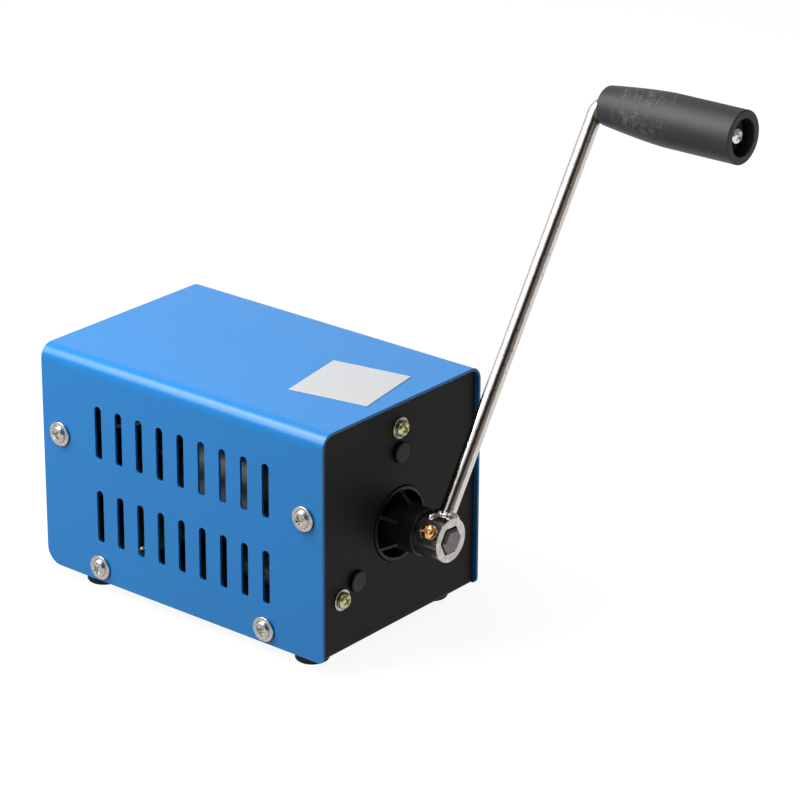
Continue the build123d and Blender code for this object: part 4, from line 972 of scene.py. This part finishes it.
class GENERATOR_OT_chassis(Operator):
    """Round over the painted chassis: its base and both walls"""

    bl_idname = "generator.chassis"
    bl_label = "Chassis"

    def execute(self, context):
        plate = sheet_paint(
            "black paint", tuple(context.scene.generator_case.plate), 0.50, 0.11, 0.14, 0.012
        )
        for node, name in (
            ("chassis_base", "base_plate"), ("front_wall", "front_plate"),
            ("rear_wall", "rear_plate"), ("wall_flanges", "return_flanges"),
        ):
            softened(node, name, 0.12, plate, "black_paint")
        return {"FINISHED"}


class GENERATOR_OT_label(Operator):
    """Lay the bare foil label on the cover"""

    bl_idname = "generator.label"
    bl_label = "Label"

    def execute(self, context):
        film = foil(tuple(context.scene.generator_case.foil))
        softened("label", "bare_label", 0.06, film, "foil")
        return {"FINISHED"}


class GENERATOR_OT_screws(Operator):
    """Make the side screws, the front screws with their washers and the screws under the feet"""

    bl_idname = "generator.screws"
    bl_label = "Screws"

    def execute(self, context):
        sizes = context.scene.generator_fasteners
        steel = metal("bright steel", (0.46, 0.44, 0.41), 0.20, (0.24, 0.22, 0.20), 0.8)
        zinc = metal(
            "yellow zinc", (0.54, 0.53, 0.31), 0.24, (0.22, 0.25, 0.10), 0.8, depth=0.004
        )
        chance = random.Random(3)
        self.place_screws(
            "side_screws", "cover_screws", steel, "bright_steel", chance,
            lambda box: Vector((1 if box[0].x > 0 else -1, 0, 0)),
            (sizes.side_head_radius, sizes.side_head_height, sizes.shank_radius),
            flange=sizes.flange_radius, flange_height=0.75 * MM,
        )
        small = (sizes.small_head_radius, sizes.small_head_height, sizes.shank_radius)
        self.place_screws(
            "nose_screws", "front_screws", zinc, "zinc_yellow_steel", chance,
            lambda box: FORWARD, small,
        )
        self.place_screws(
            "foot_bottom_screws", "foot_screws", steel, "bright_steel", chance,
            lambda box: DOWN, small,
        )
        ring = rounded(
            [(1.7, 0, 0), (1.7, 0.6, 0.12), (3.75, 0.6, 0.22), (3.75, 0, 0.15), (1.7, 0, 0)], 4
        )
        washer = soften(new_piece("washer_shape", turned([p * MM for p in ring], 48)), 0.0)
        places = []
        for low, high in islands("front_washers"):
            middle = (low + high) / 2
            places.append((Vector((middle.x, high.y, middle.z)), FORWARD, 0.0))
        washers = repeat("nose_washers", washer, places, steel)
        wear(washers, steel, "bright_steel", "front_washers")
        dress(steel, "cap_screws", "board_screws", "motor_screws", "foot_nuts", "board_standoffs")
        return {"FINISHED"}

    def place_screws(self, name, node, finish, slot, chance, direction, head, **more):
        """Stands a detailed screw where each of a CAD node's screws is."""
        places = []
        for box in islands(node):
            way = direction(box)
            middle, half = (box[0] + box[1]) / 2, (box[1] - box[0]) / 2
            reach = abs(half.dot(way))
            seat = middle + way * (reach - head[1])
            places.append((seat, way, chance.uniform(0, pi / 2)))
        shape = cross_screw(name + "_shape", *head, 2 * reach - head[1], **more)
        wear(repeat(name, shape, places, finish), finish, slot, node)


class GENERATOR_OT_feet(Operator):
    """Turn the four rubber feet"""

    bl_idname = "generator.feet"
    bl_label = "Feet"

    def execute(self, context):
        low, high = islands("rubber_feet")[0]
        height, radius = (high.z - low.z) / MM, (high.x - low.x) / 2 / MM
        corners = [
            (1.8, 2.6, 0), (3.5, 2.6, 0.3), (3.5, 0, 0.5), (radius - 0.25, 0, 0.9),
            (radius, height, 0.35), (1.8, height, 0), (1.8, 2.6, 0),
        ]
        profile = [p * MM for p in rounded(corners, 5)]
        shape = soften(new_piece("foot_shape", turned(profile)), 0.0)
        black = rubber((0.014, 0.014, 0.014))
        places = []
        for low, high in islands("rubber_feet"):
            middle = (low + high) / 2
            places.append((Vector((middle.x, middle.y, low.z)), UP, 0.0))
        wear(repeat("soft_feet", shape, places, black), black, "black_rubber", "rubber_feet")
        return {"FINISHED"}


class GENERATOR_OT_nose(Operator):
    """Round over the gearbox's ribbed nose and its bush"""

    bl_idname = "generator.nose"
    bl_label = "Nose"

    def execute(self, context):
        black = moulded("black moulding", (0.005, 0.0048, 0.0046), 0.40, 0.24)
        softened("gearbox_nose", "ribbed_nose", 0.18, black, "black_plastic")
        bronze = metal("bronze", (0.55, 0.36, 0.16), 0.35, (0.36, 0.22, 0.09))
        dress(bronze, "nose_bush", "motor_bushes")
        dress(black, "gearbox_cap", "motor_end_cap", "regulator")
        return {"FINISHED"}


class GENERATOR_OT_crank(Operator):
    """Make the crank: its shaft, sleeve, clamp screws, bent rod and weld"""

    bl_idname = "generator.crank"
    bl_label = "Crank"
    foot_drops = 22             # of the weld, round the rod's foot
    side_drops = 14             # round the sleeve, to the left
    front_drops = 6             # towards the sleeve's front face

    def execute(self, context):
        sizes = context.scene.generator_crank
        shaft = turned_steel("shaft steel", (0.17, 0.158, 0.168), 0.42, 0.5)
        softened("input_shaft", "hexagon_shaft", 0.45, shaft, "bright_steel", 25.0)
        nickel = turned_steel("nickel sleeve", (0.52, 0.495, 0.46), 0.17, 0.22)
        softened("crank_sleeve", "crank_collar", 0.28, nickel, "chromed_steel", 25.0)
        dress(nickel, "shaft_clip")
        gold = metal("gold screws", (0.86, 0.50, 0.22), 0.20, (0.62, 0.22, 0.07), 0.7)
        self.clamp_screws(context, gold)
        self.rod(sizes, chrome())
        self.weld(sizes, metal("weld", (0.74, 0.72, 0.70), 0.14, (0.20, 0.17, 0.15), 1.6))
        return {"FINISHED"}

    def clamp_screws(self, context, gold):
        """Two screws across the sleeve, on its flats."""
        sizes = context.scene.generator_fasteners
        head, height, reach = 2.5 * MM, 1.9 * MM, 2.2 * MM
        corners = frame["nodes"]["clamp_screws"].data.vertices
        places = []
        for low, high in islands("clamp_screws"):
            middle = (low + high) / 2
            way = Vector((middle.x - SHAFT.x, 0, middle.z - SHAFT.z)).normalized()
            top = max((corner.co - SHAFT).dot(way) for corner in corners)
            seat = Vector((SHAFT.x, middle.y, SHAFT.z)) + way * (top - height)
            places.append((seat, way, 0.35))
        shape = cross_screw("clamp_shape", head, height, sizes.shank_radius, reach)
        wear(repeat("clamp_pair", shape, places, gold), gold, "zinc_yellow_steel", "clamp_screws")

    def rod(self, sizes, finish):
        """Sweeps the rod from the sleeve, round its bend and into the grip."""
        axis = Vector((SHAFT.x, SLEEVE_LOW.y + sizes.rod_back, SHAFT.z))
        reach = (SPINDLE - SHAFT).length
        path = [axis + ARM * 6.0 * MM, axis + ARM * (reach - sizes.rod_bend)]
        centre = path[-1] + FORWARD * sizes.rod_bend
        steps = 16
        for step in range(1, steps + 1):
            angle = pi / 2 * step / steps
            path.append(centre + (ARM * sin(angle) - FORWARD * cos(angle)) * sizes.rod_bend)
        path.append(Vector((SPINDLE.x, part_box("crank_arm")[0].y, SPINDLE.z)))
        bm = bmesh.new()
        verts = [bm.verts.new(point) for point in path]
        for pair in zip(verts, verts[1:]):
            bm.edges.new(pair)
        rod = new_piece("crank_rod", bm)
        recipe = Recipe("swept rod", Radius="Float")
        line = recipe.value("GeometryNodeMeshToCurve", None, {0: recipe["Geometry"]})
        ring = recipe.circle(48, recipe["Radius"])
        values = {"Curve": line, "Profile Curve": ring, "Fill Caps": True}
        recipe.finish(recipe.value("GeometryNodeCurveToMesh", None, values))
        recipe.run(rod, Radius=sizes.rod_radius, Material=finish)
        wear(soften(rod, 0.35, 50.0), finish, "chromed_steel", "crank_arm")

    def weld(self, sizes, finish):
        """A lumpy bead round the rod's foot and along the sleeve, from drops melted together."""
        chance = random.Random(sizes.bead_seed)
        station = SLEEVE_LOW.y + sizes.rod_back
        radius = (SLEEVE_HIGH.z - SLEEVE_LOW.z) / 2
        across = Vector((0, 1, 0)).cross(ARM)
        drops = []
        for step in range(self.foot_drops):
            angle = 2 * pi * step / self.foot_drops + chance.uniform(-0.1, 0.1)
            reach = sizes.rod_radius + chance.uniform(-0.1, 0.6) * MM
            drops.append((reach * cos(angle), reach * sin(angle), chance.uniform(0.95, 1.35)))
        for step in range(self.side_drops):
            side = (-2.2 - 0.33 * step + chance.uniform(-0.2, 0.2)) * MM
            drops.append((side, (-0.2 + 0.15 * step) * MM, chance.uniform(0.65, 0.95)))
        for step in range(self.front_drops):
            side = chance.uniform(-0.9, 0.3) * MM
            drops.append((side, (-2.2 - 0.3 * step) * MM, chance.uniform(0.7, 0.9)))
        bm = bmesh.new()
        for side, back, size in drops:
            angle = side / radius
            foot = SHAFT + (ARM * cos(angle) + across * sin(angle)) * (radius - 0.15 * MM)
            place = Matrix.Translation((foot.x, station + back, foot.z))
            bmesh.ops.create_icosphere(
                bm, subdivisions=3, radius=size * sizes.bead_size, matrix=place
            )
        bead = new_piece("weld_bead", bm)
        melted = bead.modifiers.new("Melted", "REMESH")
        melted.mode = "VOXEL"
        melted.voxel_size = 0.22 * MM
        melted.use_smooth_shade = True
        slack = bead.modifiers.new("Slack", "SMOOTH")
        slack.iterations = 7
        wear(settle_mesh(bead), finish, "chromed_steel", "crank_arm")


class GENERATOR_OT_grip(Operator):
    """Turn the grip and fit its washer and screw"""

    bl_idname = "generator.grip"
    bl_label = "Grip"

    def execute(self, context):
        sizes = context.scene.generator_crank
        low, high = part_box("grip")
        span = high.y - low.y
        bore, bevel, edge = 2.8 * MM, 0.6 * MM, 0.4 * MM
        steps = 24
        neck = []
        for step in range(steps + 1):
            back = sizes.swell * step / steps
            drop = (sizes.grip_radius - sizes.neck_radius) * (1 - step / steps) ** 1.4
            neck.append((sizes.grip_radius - drop, span - back, 0))
        corners = [
            (bore, span - bevel, 0), (bore + bevel, span, 0), (neck[0][0], span, 1.1 * MM),
            *neck[2:], (sizes.grip_radius, 0, edge), (sizes.cavity_radius, 0, edge),
            (sizes.cavity_radius - 0.1 * MM, sizes.cavity_depth, 0.5 * MM),
            (bore, sizes.cavity_depth, 0), (bore, span - bevel, 0),
        ]
        bm = turned(rounded(corners), 96)
        bm.transform(standing((0, 1, 0), (SPINDLE.x, low.y, SPINDLE.z)))
        finish = grip_finish(tuple(sizes.grip_colour))
        wear(soften(new_piece("turning_grip", bm), 0.0), finish, "black_plastic", "grip")
        black = moulded("black washer", (0.012, 0.012, 0.012), 0.5)
        softened("grip_washer", "grip_end_washer", 0.1, black, "black_plastic")
        steel = metal("grip screw steel", (0.80, 0.79, 0.78), 0.16, (0.60, 0.58, 0.56), 0.8)
        low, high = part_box("grip_screw")
        head, height, shank = 3.1 * MM, 2.4 * MM, 1.5 * MM
        shape = cross_screw("grip_screw_shape", head, height, shank, high.y - low.y - height)
        seat = Vector((SPINDLE.x, low.y + height, SPINDLE.z))
        screw = repeat("grip_end_screw", shape, [(seat, FORWARD, 0.5)], steel)
        wear(screw, steel, "bright_steel", "grip_screw")
        return {"FINISHED"}


class GENERATOR_OT_outputs(Operator):
    """Finish the output sockets, the serial bus socket and the power light"""

    bl_idname = "generator.outputs"
    bl_label = "Outputs"

    def execute(self, context):
        red = moulded("red moulding", (0.45, 0.012, 0.01), 0.33)
        black = moulded("black socket moulding", (0.012, 0.012, 0.012), 0.35)
        softened("red_socket", "red_output", 0.25, red, "red_plastic")
        softened("black_socket", "black_output", 0.25, black, "black_gloss")
        brass = metal("nickelled brass", (0.70, 0.62, 0.40), 0.25, (0.55, 0.44, 0.22))
        softened("socket_contacts", "socket_tubes", 0.1, brass, "brass")
        dress(brass, "socket_nuts", "brush_arms")
        shell = metal("tinned shell", (0.66, 0.66, 0.66), 0.3, (0.50, 0.50, 0.50), depth=0.002)
        softened("usb_shell", "bus_shell", 0.08, shell, "bright_steel")
        white = moulded("white moulding", (0.70, 0.69, 0.66), 0.4)
        softened("usb_tongue", "bus_tongue", 0.1, white, "white_plastic")
        softened("power_light", "power_lamp", 0.1, lens((0.04, 0.45, 0.08)), "green_lamp", 50.0)
        return {"FINISHED"}


class GENERATOR_OT_board(Operator):
    """Finish the output board and what stands on it"""

    bl_idname = "generator.board"
    bl_label = "Board"

    def execute(self, context):
        softened("circuit_board", "output_board", 0.08, circuit(), "board")
        can = moulded("capacitor sleeve", (0.010, 0.016, 0.05), 0.3)
        softened("capacitor", "smoothing_capacitor", 0.3, can, "black_gloss")
        ferrite = ceramic("ferrite", (0.045, 0.045, 0.048), 0.6, (0.11, 0.11, 0.11))
        softened("inductor", "output_inductor", 0.3, ferrite, "black_plastic")
        return {"FINISHED"}


class GENERATOR_OT_machine(Operator):
    """Finish the generator machine: can, magnets, rotor and brushes"""

    bl_idname = "generator.machine"
    bl_label = "Machine"

    def execute(self, context):
        can = metal(
            "plated can", (0.27, 0.265, 0.26), 0.34, (0.19, 0.185, 0.18), 3.0, (1, 1, 12)
        )
        softened("motor_can", "machine_can", 0.4, can, "bright_steel")
        dress(ceramic("magnet", (0.05, 0.05, 0.052), 0.5, (0.13, 0.12, 0.12)), "motor_magnets")
        carbon = ceramic("carbon", (0.02, 0.02, 0.02), 0.55, (0.08, 0.08, 0.08), 0.3)
        dress(carbon, "carbon_brushes")
        dress(turned_steel("rotor steel", (0.52, 0.51, 0.50), 0.25, 0.3), "rotor_shaft")
        dress(laminations(), "rotor_core")
        dress(windings(), "rotor_windings")
        copper = metal("commutator copper", (0.70, 0.32, 0.15), 0.28, (0.45, 0.17, 0.07))
        dress(copper, "commutator")
        return {"FINISHED"}


class GENERATOR_OT_gears(Operator):
    """Finish the planetary gears and their carriers"""

    bl_idname = "generator.gears"
    bl_label = "Gears"

    def execute(self, context):
        planets = [f"{stage}_planet_{i}" for stage in ("first", "second") for i in (1, 2, 3)]
        dress(nylon(), *planets)
        steel = metal("gear steel", (0.50, 0.49, 0.48), 0.3, (0.34, 0.33, 0.31), 2.0)
        dress(steel, "first_carrier", "second_carrier", "motor_pinion")
        dress(moulded("ring moulding", (0.02, 0.02, 0.02), 0.4), "ring_gear")
        return {"FINISHED"}


class GENERATOR_OT_wires(Operator):
    """Finish the wires from the machine and to the sockets"""

    bl_idname = "generator.wires"
    bl_label = "Wires"

    def execute(self, context):
        dress(insulation("red insulation", (0.50, 0.012, 0.012)), "red_wires")
        dress(insulation("black insulation", (0.012, 0.012, 0.012)), "black_wires")
        return {"FINISHED"}


class GENERATOR_OT_stage(Operator):
    """Set the floor, the soft light and the camera"""

    bl_idname = "generator.stage"
    bl_label = "Stage"

    def execute(self, context):
        stage = context.scene.generator_stage
        self.floor(stage)
        self.surround(stage)
        middle = (0, 0, 0.05)
        self.lamp("top_lamp", (-0.32, 0.27, 0.86), middle, 0.7, stage.top_light)
        self.lamp("side_lamp", (-0.31, 0.25, 0.42), middle, 0.38, stage.side_light)
        data = bpy.data.cameras.new("camera")
        data.lens = CAMERA_LENS
        data.sensor_width = CAMERA_SENSOR
        camera = bpy.data.objects.new("camera", data)
        bpy.context.scene.collection.objects.link(camera)
        turn = Matrix((CAMERA_RIGHT, CAMERA_UP, CAMERA_BACK)).transposed().to_4x4()
        camera.matrix_world = Matrix.Translation(CAMERA_PLACE) @ turn
        context.scene.camera = camera
        context.scene.view_settings.view_transform = "Standard"
        return {"FINISHED"}

    def lamp(self, name, place, target, size, power):
        """A square soft lamp that faces a target."""
        data = bpy.data.lights.new(name, "AREA")
        data.energy = power
        data.size = size
        lamp = bpy.data.objects.new(name, data)
        bpy.context.scene.collection.objects.link(lamp)
        lamp.matrix_world = standing(Vector(place) - Vector(target), place)

    def floor(self, stage):
        """A pale floor that shows white, and a soft shadow on it."""
        bm = bmesh.new()
        bmesh.ops.create_grid(bm, x_segments=8, y_segments=8, size=6.0)
        floor = new_piece("floor", bm)
        tint = tuple(stage.floor)
        paper = Finish("paper floor", tint, 0.9, Specular_IOR_Level=0.0)
        paper.feed(Base_Color=paper.mix(paper.noise(2.0), scaled(tint, 0.99), scaled(tint, 1.01)))
        light = paper.node("ShaderNodeEmission", None, {"Color": (1, 1, 1, 1), "Strength": 0.92})
        added = paper.node(
            "ShaderNodeAddShader", None, {0: paper.shader.outputs[0], 1: light.outputs[0]}
        )
        path = paper.node("ShaderNodeLightPath")
        rays = ("Is Camera Ray", "Is Glossy Ray", "Is Transmission Ray")
        seen = sum(Value(paper, path.outputs[ray]) for ray in rays)
        shown = paper.node(
            "ShaderNodeMixShader", None,
            {0: seen, 1: paper.shader.outputs[0], 2: added.outputs[0]},
        )
        ending = paper.tree.nodes["Material Output"]
        paper.tree.links.new(shown.outputs[0], ending.inputs["Surface"])
        floor.data.materials.append(paper.material)

    def surround(self, stage):
        """A plain soft surround. Seen in metal it is white with a dark strip and a dimmer right."""
        world = bpy.data.worlds.new("surround")
        bpy.context.scene.world = world
        world.use_nodes = True
        room = Network(world.node_tree)
        room.tree.nodes.clear()
        way = room.node("ShaderNodeTexCoord").outputs["Generated"]

        def towards(direction):
            return room.dot(way, Vector(direction).normalized())

        def light(tint, strength):
            values = {"Color": tint, "Strength": strength}
            return room.value("ShaderNodeBackground", None, values)

        def blend(share, first, second):
            return room.value("ShaderNodeMixShader", None, {0: share, 1: first, 2: second})

        strip = towards((-0.72, -0.56, 0.40)).between(0.86, 0.95)
        right = towards((0.63, -0.78, 0.0)).between(0.0, 0.25)
        plain = room.mix(right, (1.0, 1.0, 1.0), (0.30, 0.27, 0.24))
        seen = room.mix(strip, plain, (0.04, 0.03, 0.027))
        path = room.node("ShaderNodeLightPath")
        rays = ("Is Camera Ray", "Is Transmission Ray")
        through = sum(Value(room, path.outputs[ray]) for ray in rays)
        shine = blend(
            path.outputs["Is Glossy Ray"],
            light((0.97, 0.985, 1.0, 1.0), stage.sky),
            light(seen, 0.95),
        )
        white = light((1.0, 1.0, 1.0, 1.0), 1.0)
        room.node("ShaderNodeOutputWorld", None, {0: blend(through, shine, white)})


OPERATORS = (
    GENERATOR_OT_cover, GENERATOR_OT_chassis, GENERATOR_OT_label, GENERATOR_OT_screws,
    GENERATOR_OT_feet, GENERATOR_OT_nose, GENERATOR_OT_crank, GENERATOR_OT_grip,
    GENERATOR_OT_outputs, GENERATOR_OT_board, GENERATOR_OT_machine, GENERATOR_OT_gears,
    GENERATOR_OT_wires, GENERATOR_OT_stage,
)
SETTINGS = {
    "generator_case": CaseSettings, "generator_crank": CrankSettings,
    "generator_fasteners": FastenerSettings, "generator_stage": StageSettings,
}


class GENERATOR_PT_panel(Panel):
    """Lists the pieces and the stage"""

    bl_idname = "GENERATOR_PT_panel"
    bl_label = "Hand crank generator"
    bl_space_type = "VIEW_3D"
    bl_region_type = "UI"
    bl_category = "Generator"

    def draw(self, context):
        column = self.layout.column(align=True)
        for operator in OPERATORS:
            column.operator(operator.bl_idname)
        for name, group in SETTINGS.items():
            box = self.layout.box()
            for setting in group.__annotations__:
                box.prop(getattr(context.scene, name), setting)


def register():
    for name, group in SETTINGS.items():
        bpy.utils.register_class(group)
        setattr(bpy.types.Scene, name, PointerProperty(type=group))
    for operator in OPERATORS:
        bpy.utils.register_class(operator)
    bpy.utils.register_class(GENERATOR_PT_panel)


def unregister():
    bpy.utils.unregister_class(GENERATOR_PT_panel)
    for operator in reversed(OPERATORS):
        bpy.utils.unregister_class(operator)
    for name, group in SETTINGS.items():
        delattr(bpy.types.Scene, name)
        bpy.utils.unregister_class(group)


def main():
    """Makes every piece and the stage."""
    register()
    bpy.ops.generator.cover()
    bpy.ops.generator.chassis()
    bpy.ops.generator.label()
    bpy.ops.generator.screws()
    bpy.ops.generator.feet()
    bpy.ops.generator.nose()
    bpy.ops.generator.crank()
    bpy.ops.generator.grip()
    bpy.ops.generator.outputs()
    bpy.ops.generator.board()
    bpy.ops.generator.machine()
    bpy.ops.generator.gears()
    bpy.ops.generator.wires()
    bpy.ops.generator.stage()


if __name__ == "__main__":
    main()
